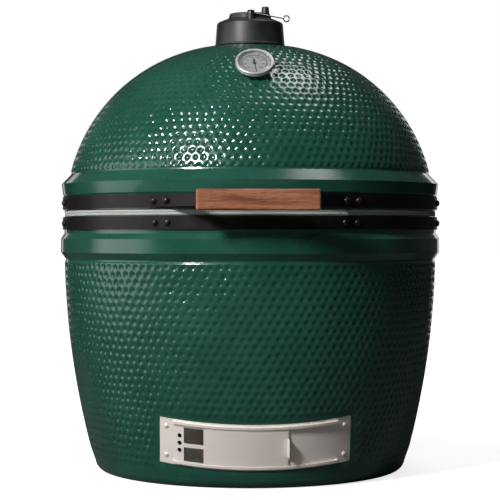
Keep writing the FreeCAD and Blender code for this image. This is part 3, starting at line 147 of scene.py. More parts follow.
def dress(finish, *names):
    """CAD nodes take a finish in every one of their material slots."""
    for name in names:
        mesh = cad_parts[name].data
        for number in range(max(1, len(mesh.materials))):
            if number < len(mesh.materials):
                mesh.materials[number] = finish.material
            else:
                mesh.materials.append(finish.material)


def piece(name, points, faces, body, slot, finish, normals=None, replaces=()):
    """A mesh object from an array of points and one of faces, riding on a body."""
    mesh = bpy.data.meshes.new(name)
    used, faces = np.unique(faces, return_inverse=True)
    faces = faces.reshape(-1, 4) if faces.ndim == 1 else faces
    mesh.from_pydata(points[used].tolist(), [], faces.tolist())
    mesh.polygons.foreach_set("use_smooth", np.ones(len(mesh.polygons), bool))
    mesh.materials.append(finish.material)
    mesh.update()
    if normals is not None:
        mesh.normals_split_custom_set_from_vertices(normals[used].tolist())
    made = bpy.data.objects.new(name, mesh)
    bpy.context.scene.collection.objects.link(made)
    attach(made, body)
    if replaces:
        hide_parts(*replaces)
    return made


def grid_faces(rows, columns, joined_rows=False, joined_columns=False):
    """Quads of a grid of points that face outwards when rows run up and columns run round."""
    numbers = np.arange(rows * columns).reshape(rows, columns)
    if joined_rows:
        numbers = np.vstack([numbers, numbers[:1]])
    if joined_columns:
        numbers = np.hstack([numbers, numbers[:, :1]])
    return np.stack([numbers[:-1, :-1], numbers[:-1, 1:], numbers[1:, 1:], numbers[1:, :-1]], axis=-1)


def smooth_step(value, low, high):
    """0 below low, 1 above high, and an S-shaped rise between."""
    share = np.clip((value - low) / (high - low), 0, 1)
    return share * share * (3 - 2 * share)


DIMPLE_WIDE = 0.0168
DIMPLE_TALL = 0.0154
DIMPLE_DEEP = 0.0021
DIMPLE_CUP = 0.0080
SKIN_STEP = 0.0024
SKIN_PROUD = 0.00012
SKIN_TUCK = 0.0005
SKIN_END = 0.0003
TUCK_FADE = (0.0026, 0.0062)
SHIFT_SPREAD, SHIFT_MOST = 0.0009, 0.002
FULLNESS_SPREAD, FULLNESS_RANGE = 0.16, (0.6, 1.35)
CUP_SPREAD, CUP_RANGE = 0.06, (0.85, 1.15)


def dimple_relief(azimuth, along, radius, counts, seed):
    """Height from 0 in a dimple's middle to 1 on the flat ridges between dimples: half a cosine of the
    distance to the nearest middle, over the cup's radius. Middles lie in staggered rows, each one
    shifted and sized a little."""
    chance = np.random.default_rng(seed)
    rows, widest = len(counts), int(counts.max())
    shifts = chance.normal(0, SHIFT_SPREAD, (2, rows, widest))
    shift_round, shift_up = np.clip(shifts, -SHIFT_MOST, SHIFT_MOST)
    fullness = np.clip(chance.normal(1, FULLNESS_SPREAD, (rows, widest)), *FULLNESS_RANGE)
    cup = DIMPLE_CUP * np.clip(chance.normal(1, CUP_SPREAD, (rows, widest)), *CUP_RANGE)
    nearest = np.full((len(along), len(azimuth)), np.inf)
    relief = np.zeros_like(nearest)
    for step in (-1, 0, 1):
        row = np.clip(np.floor(along / DIMPLE_TALL).astype(int) + step, 0, rows - 1)[:, None]
        count = counts[row]
        seat = azimuth[None, :] / (2 * np.pi) * count - 0.5 * (row % 2)
        which = np.rint(seat).astype(int)
        own = which % count
        pitch = 2 * np.pi / count * radius[:, None]
        gap_round = (seat - which) * pitch - shift_round[row, own]
        gap_up = along[:, None] - (row + 0.5) * DIMPLE_TALL - shift_up[row, own]
        distance = np.hypot(gap_round, gap_up)
        share = np.clip(distance / cup[row, own], 0, 1)
        height = 1 - fullness[row, own] * (0.5 + 0.5 * np.cos(np.pi * share))
        closer = distance < nearest
        nearest = np.where(closer, distance, nearest)
        relief = np.where(closer, height, relief)
    return relief


def arc_profile(centre, arc, start, end):
    """Points at even steps along an arc about centre in the half plane of radius and height, their
    outward normals, and their distances along the arc."""
    steps = int(arc * abs(end - start) / SKIN_STEP)
    angle = np.linspace(start, end, steps + 1)
    normal = np.stack([np.cos(angle), np.sin(angle)], axis=1)
    return np.array(centre) + arc * normal, normal, arc * np.abs(angle - start)


def dimpled_skin(names, profile, normal, along, counts, seed, strength, margin, body):
    """The glazed outside of a shell: its profile turned about Z, pushed out by the dimples' relief.
    strength fades the dimples. Where margin, the distance inside the skin's edge, runs out, the skin
    tucks under the shell and stops. It is made in a front and a rear half that meet edge to edge."""
    columns = 2 * int(np.pi * profile[:, 0].max() / SKIN_STEP)
    azimuth = np.arange(columns) * 2 * np.pi / columns
    relief = dimple_relief(azimuth, along, profile[:, 0], counts, seed)
    direction = np.stack([np.cos(azimuth), np.sin(azimuth)], axis=1)
    flat = np.concatenate([profile[:, None, :1] * direction[None], np.broadcast_to(
        profile[:, None, 1:], (len(profile), columns, 1))], axis=2)
    outward = np.concatenate([normal[:, None, :1] * direction[None], np.broadcast_to(
        normal[:, None, 1:], (len(profile), columns, 1))], axis=2)
    pressed = strength(flat) * relief
    inside = margin(flat)
    edge = smooth_step(inside, *TUCK_FADE)
    offset = edge * (SKIN_PROUD + DIMPLE_DEEP * pressed) - (1 - edge) * SKIN_TUCK
    points = flat + offset[:, :, None] * outward
    around = np.roll(points, -1, axis=1) - np.roll(points, 1, axis=1)
    upward = np.gradient(points, axis=0)
    facing = np.cross(around, upward)
    facing /= np.linalg.norm(facing, axis=2, keepdims=True)
    faces = grid_faces(len(profile), columns, joined_columns=True)
    kept = inside > SKIN_END
    kept = kept & np.roll(kept, -1, axis=1)
    kept = kept[:-1] & kept[1:]
    half = columns // 2
    for name, first in zip(names, (half, 0)):
        part = faces[:, first:first + half][kept[:, first:first + half]]
        made = piece(name, points.reshape(-1, 3), part, body, "glaze", glaze, facing.reshape(-1, 3))
        pool = np.unique(part)
        made.data.attributes.new("pooling", "FLOAT", "POINT").data.foreach_set(
            "value", (strength(flat) * (1 - relief)).ravel()[pool].astype(np.float32))


def glaze_finish(name):
    """Deep green glaze: clear and hard over a green body, darker where it pools, thinner on the ridges."""
    made = Finish(name, coat_weight=1.0, coat_roughness=0.045, coat_ior=1.5, ior=1.45,
                  specular_ior_level=0.35)
    cloud = made.noise(9, 4, 0.55)
    speck = made.noise(420, 2, 0.6)
    pool = made.node("ShaderNodeAttribute", {"attribute_name": "pooling"}, out="Fac")
    colour = made.mix(made.between(cloud, 0.35, 0.65), (0.0105, 0.072, 0.047), (0.0155, 0.094, 0.063))
    colour = made.mix(pool * 0.6, colour, (0.0055, 0.046, 0.031))
    colour = made.mix(made.between(speck, 0.68, 0.78, 0, 0.5), colour, (0.004, 0.035, 0.026))
    made.set(base_color=colour, roughness=made.between(cloud, 0.3, 0.7, 0.2, 0.34))
    ripple = made.bump(made.noise(70, 2, 0.4), 0.00022)
    made.bump(made.noise(900, 2, 0.5), 0.00002, 0.6, ripple)
    return made


glaze = glaze_finish("green_glaze")

FOOT_EDGE = (0.3295, 0.016)
UNDER_LIP = (0.3932, 0.4470)
WALL_ARC = 1.690
DRAFT_HEIGHT = 0.1696
DRAFT_TILT = math.radians(14)
SEAT_RADIUS = 0.355
SEAT_HALF_WIDE = math.radians(31.95) * SEAT_RADIUS
SEAT_HALF_TALL = 0.0479
WALL_MEAN_RADIUS = 0.370
FOOT_FADE = (0.020, 0.055)
SEAT_FADE = (0.003, 0.020)


def draft_place(points):
    """Points as (distance round, height along, radius) about the draft door's own leaning axis."""
    x, y, z = points[..., 0], points[..., 1], points[..., 2] - DRAFT_HEIGHT
    ahead = -y * math.cos(DRAFT_TILT) - z * math.sin(DRAFT_TILT)
    height = -y * math.sin(DRAFT_TILT) + z * math.cos(DRAFT_TILT)
    return np.arctan2(x, ahead) * SEAT_RADIUS, height, np.hypot(x, ahead)


def off_the_seat(points):
    """How far a point on the base's wall is outside the flat seat of the draft frame."""
    around, height, _ = draft_place(points)
    over = np.abs(around) - SEAT_HALF_WIDE
    above = np.abs(height) - SEAT_HALF_TALL
    outside = np.hypot(np.maximum(over, 0), np.maximum(above, 0)) + np.minimum(np.maximum(over, above), 0)
    return np.where(points[..., 1] < 0, outside, 1)


chord = np.subtract(UNDER_LIP, FOOT_EDGE)
chord_length = np.hypot(*chord)
wall_normal = np.array([chord[1], -chord[0]]) / chord_length
wall_sink = math.sqrt(WALL_ARC ** 2 - (chord_length / 2) ** 2)
wall_centre = np.add(UNDER_LIP, FOOT_EDGE) / 2 - wall_normal * wall_sink
wall_angles = [math.atan2(end[1] - wall_centre[1], end[0] - wall_centre[0])
               for end in (FOOT_EDGE, UNDER_LIP)]
wall, wall_out, wall_along = arc_profile(wall_centre, WALL_ARC, *wall_angles)
wall_rows = int(wall_along[-1] / DIMPLE_TALL) + 1
wall_counts = np.full(wall_rows, round(2 * np.pi * WALL_MEAN_RADIUS / DIMPLE_WIDE))


def base_strength(points):
    """Full dimples over the wall, dying out towards the foot and round the draft frame."""
    foot = smooth_step(points[..., 2], *FOOT_FADE)
    return foot * smooth_step(off_the_seat(points), *SEAT_FADE)


def base_margin(points):
    """Distance to the nearest edge of the base's dimpled skin."""
    ends = np.minimum(wall_along, wall_along[-1] - wall_along)[:, None]
    return np.minimum(ends, off_the_seat(points))


dimpled_skin(("base_glaze_front", "base_glaze_rear"), wall, wall_out, wall_along, wall_counts, 11,
             base_strength, base_margin, "base")
dress(glaze, "base_shell")

# Felts: flat strips of white wool felt, glued to the rims of the base and of the dome. The lid's weight
# keeps the two pressed together, and their cut edges show as one pale line.
FELT_INNER, FELT_OUTER = 0.3712, 0.3951
FELT_ROUND = 0.0011
FELT_SEGMENTS = 720
FELT_WAVES = 26
WAVE_HEIGHT = 0.00006


def felt_ring(name, low, high, seed, body, replaced, inner=FELT_INNER, outer=FELT_OUTER):
    """A flat ring: a rounded rectangle turned about Z, its cut edges wandering by a few tenths of a
    millimetre with sums of sines round the ring."""
    chance = np.random.default_rng(seed)
    azimuth = np.arange(FELT_SEGMENTS) * 2 * np.pi / FELT_SEGMENTS
    waves = chance.integers(20, 330, FELT_WAVES)
    phases = chance.uniform(0, 6.28, FELT_WAVES)
    wander = (np.cos(azimuth[:, None] * waves + phases) * WAVE_HEIGHT).sum(axis=1)
    corner = np.linspace(0, np.pi / 2, 4)
    across, up = [], []
    for edge, level, start in ((outer, low, -90), (outer, high, 0), (inner, high, 90), (inner, low, 180)):
        inward = -1 if edge == outer else 1
        down = 1 if level == low else -1
        angle = math.radians(start) + corner
        across.append(edge + inward * FELT_ROUND + FELT_ROUND * np.cos(angle))
        up.append(level + down * FELT_ROUND + FELT_ROUND * np.sin(angle))
    across, up = np.concatenate(across), np.concatenate(up)
    loose = np.where(across > (inner + outer) / 2, 1.0, 0.4)
    radius = across[:, None] + loose[:, None] * wander[None]
    points = np.stack([radius * np.cos(azimuth), radius * np.sin(azimuth),
                       np.broadcast_to(up[:, None], radius.shape)], axis=-1)
    faces = grid_faces(len(across), FELT_SEGMENTS, joined_rows=True, joined_columns=True)
    piece(name, points.reshape(-1, 3), faces.reshape(-1, 4), body, "felt", felt, replaces=replaced)


felt = Finish("wool_felt", specular_ior_level=0.15, sheen_weight=0.35, sheen_roughness=0.5)
fibre = felt.noise(700, 5, 0.7, (1, 1, 2.5))
felt.set(base_color=felt.mix(felt.between(fibre, 0.3, 0.7), (0.34, 0.335, 0.31), (0.57, 0.565, 0.53)),
         roughness=0.95)
felt.bump(fibre, 0.0006)
felt_ring("base_felt", *(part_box("base_gasket")[end].z for end in (0, 1)), 3, "base", ["base_gasket"])
felt_ring("dome_felt", *(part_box("dome_gasket")[end].z for end in (0, 1)), 4, "lid", ["dome_gasket"])
dress(felt, "vent_gasket")

# Bands: two hoops of rolled steel strip, powder coated satin black, drawn tight round the rims by
# the bolts of the handle and of the hinge. The hinge brackets and the handle's strap are the same steel.
black_steel = Finish("satin_black_coat", coat_weight=0.1, coat_roughness=0.3, specular_ior_level=0.3)
orange_peel = black_steel.noise(650, 3, 0.5)
rubbed = black_steel.noise(38, 5, 0.65)
black_steel.set(
    base_color=black_steel.mix(black_steel.between(rubbed, 0.5, 0.8), (0.0055, 0.0045, 0.0038),
                               (0.016, 0.0135, 0.0115)),
    roughness=black_steel.between(rubbed, 0.3, 0.75, 0.33, 0.52))
black_steel.bump(orange_peel, 0.00012, 0.8)
dress(black_steel, "lower_band", "upper_band", "handle_bracket", "hinge_base_bracket", "hinge_dome_bracket")

blackened = Finish("blackened_bolt", coat_weight=0.15, coat_roughness=0.25, metallic=0.35)
worn = blackened.noise(160, 4, 0.6)
blackened.set(base_color=blackened.mix(blackened.between(worn, 0.58, 0.78), (0.016, 0.015, 0.014),
                                       (0.11, 0.105, 0.10)),
              roughness=blackened.between(worn, 0.3, 0.7, 0.26, 0.44))
blackened.bump(blackened.noise(1100, 2, 0.5), 0.00006)
dress(blackened, "lower_band_bolts", "upper_band_bolts", "handle_bolts", "grip_screws", "hinge_base_bolts",
      "hinge_dome_bolts", "hinge_stop_bolt", "vent_pivot_screw")

# Hinge: a plated pin through both brackets, in bronze bushes, with a pair of coiled springs that carry
# the lid's weight. The springs are oiled steel wire.
plated = Finish("zinc_plate", metallic=1.0)
bloom = plated.noise(90, 4, 0.6)
plated.set(base_color=plated.mix(bloom, (0.50, 0.50, 0.49), (0.70, 0.69, 0.66)),
           roughness=plated.between(bloom, 0.3, 0.7, 0.24, 0.42))
plated.bump(plated.noise(1500, 2, 0.5), 0.00003)
dress(plated, "hinge_pin", "hinge_nut", "damper_rivet")

spring_wire = Finish("oiled_spring_wire", metallic=1.0)
drawn = spring_wire.noise(240, 3, 0.6, (0.2, 1, 1))
spring_wire.set(base_color=spring_wire.mix(drawn, (0.17, 0.165, 0.16), (0.36, 0.35, 0.34)),
                roughness=spring_wire.between(drawn, 0.3, 0.7, 0.26, 0.45))
spring_wire.bump(drawn, 0.00004)
dress(spring_wire, "hinge_springs", "dial_clip")

bronze = Finish("sintered_bronze", metallic=1.0)
pores = bronze.noise(1800, 2, 0.6)
bronze.set(base_color=bronze.mix(pores, (0.34, 0.20, 0.08), (0.62, 0.42, 0.20)), roughness=0.42)
bronze.bump(pores, 0.00005)
dress(bronze, "hinge_bushes")

# Fire bowl and ring: cast firebrick, pale and unglazed, set loose inside the base. Soot greys it a
# little where the charcoal burns, and a few hairline cracks run through it.
firebrick = Finish("firebrick", specular_ior_level=0.25)
grog = firebrick.noise(260, 4, 0.7)
soot = firebrick.noise(5, 4, 0.6)
cell = firebrick.node("ShaderNodeTexVoronoi", {"feature": "DISTANCE_TO_EDGE"}, {
    "Vector": firebrick.place((1, 1, 0.7)), "Scale": 6.5})
crack = firebrick.between(cell, 0.0, 0.012, 1.0, 0.0)
clay = firebrick.mix(firebrick.between(grog, 0.35, 0.65), (0.60, 0.50, 0.37), (0.74, 0.65, 0.50))
clay = firebrick.mix(firebrick.between(soot, 0.42, 0.7, 0, 0.45), clay, (0.20, 0.175, 0.15))
firebrick.set(base_color=firebrick.mix(crack * 0.55, clay, (0.16, 0.13, 0.10)), roughness=0.9)
firebrick.bump(grog - crack * 0.6, 0.0007)
dress(firebrick, "fire_bowl", "fire_ring")

# Fire grate: a slotted disc of raw sand-cast iron that drops onto a ledge in the bowl.
cast_iron = Finish("raw_cast_iron", metallic=0.55, specular_ior_level=0.4)
sand = cast_iron.noise(520, 4, 0.65)
rust = cast_iron.noise(22, 5, 0.6)
cast_iron.set(base_color=cast_iron.mix(cast_iron.between(rust, 0.55, 0.8, 0, 0.6), (0.055, 0.052, 0.050),
                                       (0.13, 0.062, 0.030)),
              roughness=cast_iron.between(rust, 0.3, 0.7, 0.5, 0.8))
cast_iron.bump(sand, 0.0005)
dress(cast_iron, "fire_grate")

# Cooking grid: bright stainless rods welded to a ring, warmed to a straw tint here and there.
grid_rod = Finish("stainless_rod", metallic=1.0)
heat = grid_rod.noise(11, 4, 0.6)
grid_rod.set(base_color=grid_rod.mix(grid_rod.between(heat, 0.5, 0.75), (0.62, 0.61, 0.60),
                                     (0.60, 0.50, 0.36)),
             roughness=grid_rod.between(heat, 0.3, 0.7, 0.2, 0.36))
grid_rod.bump(grid_rod.noise(900, 2, 0.5), 0.00005)
dress(grid_rod, "cooking_grid")

# Draft door: a frame of thin brushed stainless sheet, rolled to the base's curve and screwed on, with
# a door that slides in its rails and a perforated spark screen that slides behind the door.
stainless = Finish("brushed_stainless", metallic=0.12, specular_ior_level=0.6)
along_x, along_y, along_z = stainless.across()
up_the_sheet = along_y * -math.sin(DRAFT_TILT) + along_z * math.cos(DRAFT_TILT)
brush_place = stainless.node("ShaderNodeCombineXYZ", {}, {0: along_x * 14, 1: 0.0, 2: up_the_sheet * 2600})
brush = stainless.node("ShaderNodeTexNoise", {"normalize": True}, {
    "Vector": brush_place, "Scale": 1.0, "Detail": 4.0, "Roughness": 0.6})
smear = stainless.noise(16, 3, 0.5)
stainless.set(base_color=stainless.mix(brush, (0.86, 0.775, 0.70), (1.0, 0.94, 0.87)),
              roughness=stainless.between(brush, 0.25, 0.75, 0.30, 0.46) + stainless.between(
                  smear, 0.4, 0.7, 0.0, 0.06))
stainless.bump(brush, 0.00006, 0.8)
dress(stainless, "draft_frame", "draft_door", "spark_screen", "draft_screws")

# Spark mesh: a plain weave of fine stainless wire, spot welded behind the screen's windows, with each
# wire passing over one and under the next.
WIRE_PITCH = 0.0026
WIRE_RADIUS = 0.00030
WEAVE_SWING = 0.00024
MESH_RADIUS = 0.3570
WIRE_SIDES = 5
mesh_wire = Finish("woven_wire", metallic=1.0)
tarnish = mesh_wire.noise(60, 3, 0.6)
mesh_wire.set(base_color=mesh_wire.mix(tarnish, (0.20, 0.17, 0.14), (0.36, 0.32, 0.28)), roughness=0.4)
mesh_wire.bump(mesh_wire.noise(2500, 1, 0.5), 0.00001)

screen_points = np.array([v.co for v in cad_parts["spark_mesh"].data.vertices])
screen_round, screen_up, _ = draft_place(screen_points)
screen_angles = screen_round / SEAT_RADIUS


def draft_point(angle, height, radius):
    """Back from angle, height and radius about the draft door's axis to a point in the row frame."""
    ahead = radius * np.cos(angle)
    return np.stack(np.broadcast_arrays(
        radius * np.sin(angle),
        -ahead * math.cos(DRAFT_TILT) - height * math.sin(DRAFT_TILT),
        -ahead * math.sin(DRAFT_TILT) + height * math.cos(DRAFT_TILT) + DRAFT_HEIGHT), axis=-1)


def wires(lines, sideways, outwards):
    """Tubes along many lines at once: a circle of WIRE_SIDES points about each point, closed at both ends
    by drawing in the first and last circles."""
    turn = np.arange(WIRE_SIDES) * 2 * np.pi / WIRE_SIDES
    circle = np.cos(turn)[:, None] * sideways[:, :, None] + np.sin(turn)[:, None] * outwards[:, :, None]
    size = np.full(lines.shape[1], WIRE_RADIUS)
    size[[0, -1]] = 1e-6
    tubes = lines[:, :, None] + circle * size[None, :, None, None]
    count, length = lines.shape[:2]
    one = grid_faces(length, WIRE_SIDES, joined_columns=True).reshape(-1, 4)
    faces = one[None] + (np.arange(count) * length * WIRE_SIDES)[:, None, None]
    return tubes.reshape(-1, 3), faces.reshape(-1, 4)


def woven_sheet(angles, heights):
    """Two sets of wires on a cylinder: each wire's radius swings by a cosine of its place, half a turn
    apart from its neighbour's, and the second set swings the other way."""
    step = WIRE_PITCH / MESH_RADIUS
    angle_lines = np.arange(angles[0] + step, angles[1] - step / 2, step)
    height_lines = np.arange(heights[0] + WIRE_PITCH, heights[1] - WIRE_PITCH / 2, WIRE_PITCH)
    fine_angle = np.arange(-1, 2 * len(angle_lines)) / 2 * step + angle_lines[0]
    fine_height = np.arange(-1, 2 * len(height_lines)) / 2 * WIRE_PITCH + height_lines[0]
    phase_angle = (fine_angle - angle_lines[0]) / step * np.pi
    phase_height = (fine_height - height_lines[0]) / WIRE_PITCH * np.pi
    odd_height = np.arange(len(height_lines))[:, None] * np.pi
    odd_angle = np.arange(len(angle_lines))[:, None] * np.pi
    level = draft_point(fine_angle[None], height_lines[:, None],
                        MESH_RADIUS + WEAVE_SWING * np.cos(phase_angle[None] + odd_height))
    upright = draft_point(angle_lines[:, None], fine_height[None],
                          MESH_RADIUS - WEAVE_SWING * np.cos(phase_height[None] + odd_angle))
    axis = np.array([0, -math.sin(DRAFT_TILT), math.cos(DRAFT_TILT)])
    level_out = draft_point(fine_angle, 0.0, 1.0) - draft_point(fine_angle, 0.0, 0.0)
    upright_out = draft_point(angle_lines, 0.0, 1.0) - draft_point(angle_lines, 0.0, 0.0)
    level_out = np.broadcast_to(level_out[None], level.shape)
    upright_out = np.broadcast_to(upright_out[:, None], upright.shape)
    first, first_faces = wires(level, np.broadcast_to(axis, level.shape), level_out)
    second, second_faces = wires(upright, np.cross(axis, upright_out), upright_out)
    return np.vstack([first, second]), np.vstack([first_faces, second_faces + len(first)])


mesh_points, mesh_faces = woven_sheet((screen_angles.min(), screen_angles.max()),
                                      (screen_up.min(), screen_up.max()))
piece("spark_weave", mesh_points, mesh_faces, "screen", "mesh_steel", mesh_wire,
      replaces=["spark_mesh"])

# Dome: cast, dimpled and glazed like the base, with a smooth flange for its band and a short neck on
# top for the vent cap.
DOME_CENTRE = (0.0332, 0.5430)
DOME_ARC = 0.3580
DOME_LOW = math.asin((0.6250 - DOME_CENTRE[1]) / DOME_ARC)
DOME_HIGH = math.radians(84.6)
CAP_FADE = (0.074, 0.115)
CROWN_SHARE = 0.72
CROWN_REACH = (0.1, 0.26)
crown, crown_out, crown_along = arc_profile(DOME_CENTRE, DOME_ARC, DOME_LOW, DOME_HIGH)
crown_rows = int(crown_along[-1] / DIMPLE_TALL) + 1
row_angle = DOME_LOW + (np.arange(crown_rows) + 0.5) * DIMPLE_TALL / DOME_ARC
row_length = 2 * np.pi * (DOME_CENTRE[0] + DOME_ARC * np.cos(row_angle))
crown_counts = np.zeros(crown_rows, int)
held = 0
for row, length in enumerate(row_length):
    if not 0.93 < held * DIMPLE_WIDE / length < 1.07:
        held = round(length / DIMPLE_WIDE * 0.97)
    crown_counts[row] = held


def dome_strength(points):
    """Full dimples, a little shallower towards the cap."""
    reach = np.hypot(points[..., 0], points[..., 1])
    fullness = CROWN_SHARE + (1 - CROWN_SHARE) * smooth_step(reach, *CROWN_REACH)
    return smooth_step(reach, *CAP_FADE) * fullness


def dome_margin(points):
    """Distance to the nearest edge of the dome's dimpled skin."""
    ends = np.minimum(crown_along, crown_along[-1] - crown_along)[:, None]
    return np.broadcast_to(ends, points.shape[:2])


dimpled_skin(("dome_glaze_front", "dome_glaze_rear"), crown, crown_out, crown_along, crown_counts, 12,
             dome_strength, dome_margin, "lid")
dress(glaze, "dome_shell")

# Handle: a turned and planed hardwood grip, oiled, screwed to a bent steel strap that stands off the
# upper band. The grain runs along the grip.
grip_wood = Finish("oiled_hardwood", coat_weight=0.25, coat_roughness=0.28, specular_ior_level=0.4)
warp = grip_wood.noise(11, 3, 0.5, (0.35, 1, 1))
wood_x, wood_y, wood_z = grip_wood.across()
rings = (wood_z * 310 + wood_y * 170 + warp * 9).math("SINE") * 0.5 + 0.5
pore = grip_wood.noise(1500, 2, 0.6, (0.035, 1, 1))
streak = grip_wood.noise(260, 4, 0.6, (0.04, 1, 1))
plank = grip_wood.mix(rings * 0.75 + streak * 0.25, (0.155, 0.046, 0.022), (0.37, 0.135, 0.064))
plank = grip_wood.mix(grip_wood.between(streak, 0.38, 0.66, 0, 0.75), plank, (0.50, 0.215, 0.110))
plank = grip_wood.mix(grip_wood.between(pore, 0.53, 0.66, 0, 0.85), plank, (0.05, 0.014, 0.008))
grip_wood.set(base_color=plank, roughness=grip_wood.between(streak, 0.3, 0.7, 0.34, 0.5))
grip_wood.bump(pore * -0.6 + streak * 0.4, 0.00022)
dress(grip_wood, "handle_grip")

# Dial: a bimetal thermometer in a spun stainless case behind flat glass, with a printed white face.
# Its stem passes through the dome and is held by a spring clip.
DIAL_SEAT = np.array([0, -0.25262, 0.82588])
DIAL_AXIS = np.array([0, -0.7193, 0.6947])
DIAL_UP = np.array([0, 0.6947, 0.7193])
PRINT_LEVEL = 0.01856
spun = Finish("spun_stainless", metallic=0.6, roughness=0.3)
spun_grain = spun.noise(1300, 2, 0.5)
spun.set(base_color=spun.mix(spun_grain, (0.72, 0.70, 0.67), (0.86, 0.84, 0.81)),
         roughness=spun.between(spun_grain, 0.3, 0.7, 0.26, 0.38))
spun.bump(spun_grain, 0.00002)
dress(spun, "dial_case", "dial_stem")

face_white = Finish("printed_white", specular_ior_level=0.3)
face_grain = face_white.noise(700, 2, 0.5)
face_white.set(base_color=face_white.mix(face_grain, (0.90, 0.90, 0.89), (0.96, 0.96, 0.95)), roughness=0.5)
face_white.bump(face_grain, 0.00002)
dress(face_white, "dial_face")

dial_ink = Finish("dial_ink", specular_ior_level=0.3)
ink_grain = dial_ink.noise(900, 2, 0.5)
dial_ink.set(base_color=dial_ink.mix(ink_grain, (0.030, 0.032, 0.034), (0.055, 0.058, 0.062)),
             roughness=0.55)
dial_grey = Finish("dial_grey_ring", specular_ior_level=0.3)
grey_grain = dial_grey.noise(900, 2, 0.5)
dial_grey.set(base_color=dial_grey.mix(grey_grain, (0.33, 0.34, 0.35), (0.40, 0.41, 0.42)), roughness=0.5)

needle = Finish("needle_black", specular_ior_level=0.35)
needle_grain = needle.noise(1200, 2, 0.5)
needle.set(base_color=needle.mix(needle_grain, (0.010, 0.010, 0.010), (0.022, 0.022, 0.022)),
           roughness=0.42)
dress(needle, "dial_needle")

glass = Finish("dial_glass", transmission_weight=1.0, ior=1.12, roughness=0.02,
               base_color=(0.97, 0.98, 0.98))
smudge = glass.noise(60, 4, 0.6)
glass.set(roughness=glass.between(smudge, 0.45, 0.75, 0.0, 0.05))
dress(glass, "dial_glass")


def on_dial(across, up, lift=0.0):
    """Points of the dial's printed face from distances across and up it."""
    return (DIAL_SEAT + DIAL_AXIS * (PRINT_LEVEL + lift)
            + np.array([1, 0, 0]) * across[..., None] + DIAL_UP * up[..., None])


def dial_bars(angles, inner, outer, half_wide):
    """Flat bars that point to the dial's middle: corners at two radii, offset each side of each angle."""
    away = np.stack([np.sin(angles), np.cos(angles)], axis=-1)[:, None]
    side = np.stack([np.cos(angles), -np.sin(angles)], axis=-1)[:, None]
    radii = np.array([inner, inner, outer, outer])[None, :, None]
    sides = np.array([-half_wide, half_wide, half_wide, -half_wide])[None, :, None]
    corners = away * radii + side * sides
    points = on_dial(corners[..., 0], corners[..., 1])
    return points.reshape(-1, 3), np.arange(len(angles) * 4).reshape(-1, 4)


def dial_band(inner, outer, first, last, steps=96):
    """A flat ring or part of one: two arcs joined by quads."""
    angle = np.linspace(first, last, steps + 1)
    radius = np.array([inner, outer])[:, None]
    points = on_dial(radius * np.sin(angle), radius * np.cos(angle))
    return points.reshape(-1, 3), grid_faces(2, steps + 1).reshape(-1, 4)


def gather(*parts):
    """Several (points, faces) pairs as one."""
    starts = np.cumsum([0] + [len(points) for points, _ in parts[:-1]])
    return (np.vstack([points for points, _ in parts]),
            np.vstack([faces + start for (_, faces), start in zip(parts, starts)]))


SWEEP = math.radians(135)
TICK_INNER, MAJOR_OUTER, MINOR_OUTER = 0.0252, 0.0305, 0.0282
MAJOR_HALF, MINOR_HALF = 0.00042, 0.0002
SCALE_RING = (0.0232, 0.0249)
RIM_RING = (0.0322, 0.0326)
NUMBER_RADIUS, NUMBER_TALL = 0.0183, 0.0056
major = np.linspace(-SWEEP, SWEEP, 8)
minor = np.linspace(-SWEEP, SWEEP, 36)
marks = gather(dial_bars(major, TICK_INNER, MAJOR_OUTER, MAJOR_HALF),
               dial_bars(minor, TICK_INNER, MINOR_OUTER, MINOR_HALF))
dial_marks = piece("dial_marks", *marks, "lid", "dial_white", dial_ink)
rings_print = gather(dial_band(*SCALE_RING, -SWEEP - 0.1, SWEEP + 0.1),
                     dial_band(*RIM_RING, -np.pi, np.pi))
dial_rings = piece("dial_rings", *rings_print, "lid", "dial_white", dial_grey)


def dial_number(text, angle, radius, size):
    """A number as a flat mesh, its middle at a place on the dial's face."""
    letters = bpy.data.curves.new("number", "FONT")
    letters.body = text
    letters.size = size
    letters.align_x = "CENTER"
    letters.align_y = "CENTER"
    letters.resolution_u = 3
    shown = bpy.data.objects.new("number", letters)
    bpy.context.scene.collection.objects.link(shown)
    bpy.context.view_layer.update()
    mesh = bpy.data.meshes.new_from_object(shown)
    flat = np.array([v.co for v in mesh.vertices])
    corners = [list(p.vertices) for p in mesh.polygons]
    bpy.data.objects.remove(shown)
    bpy.data.meshes.remove(mesh)
    middle = (flat.min(axis=0) + flat.max(axis=0)) / 2
    points = on_dial(flat[:, 0] - middle[0] + radius * math.sin(angle),
                     flat[:, 1] - middle[1] + radius * math.cos(angle))
    return points, corners


number_points, number_faces = [], []
for step, angle in enumerate(major):
    points, corners = dial_number(str(50 * (step + 1)), angle, NUMBER_RADIUS, NUMBER_TALL)
    start = sum(len(block) for block in number_points)
    number_points.append(points)
    number_faces += [[start + corner for corner in face] for face in corners]
numbers_mesh = bpy.data.meshes.new("dial_numbers")
numbers_mesh.from_pydata(np.vstack(number_points).tolist(), [], number_faces)
numbers_mesh.materials.append(dial_ink.material)
dial_numbers = bpy.data.objects.new("dial_numbers", numbers_mesh)
bpy.context.scene.collection.objects.link(dial_numbers)
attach(dial_numbers, "lid")

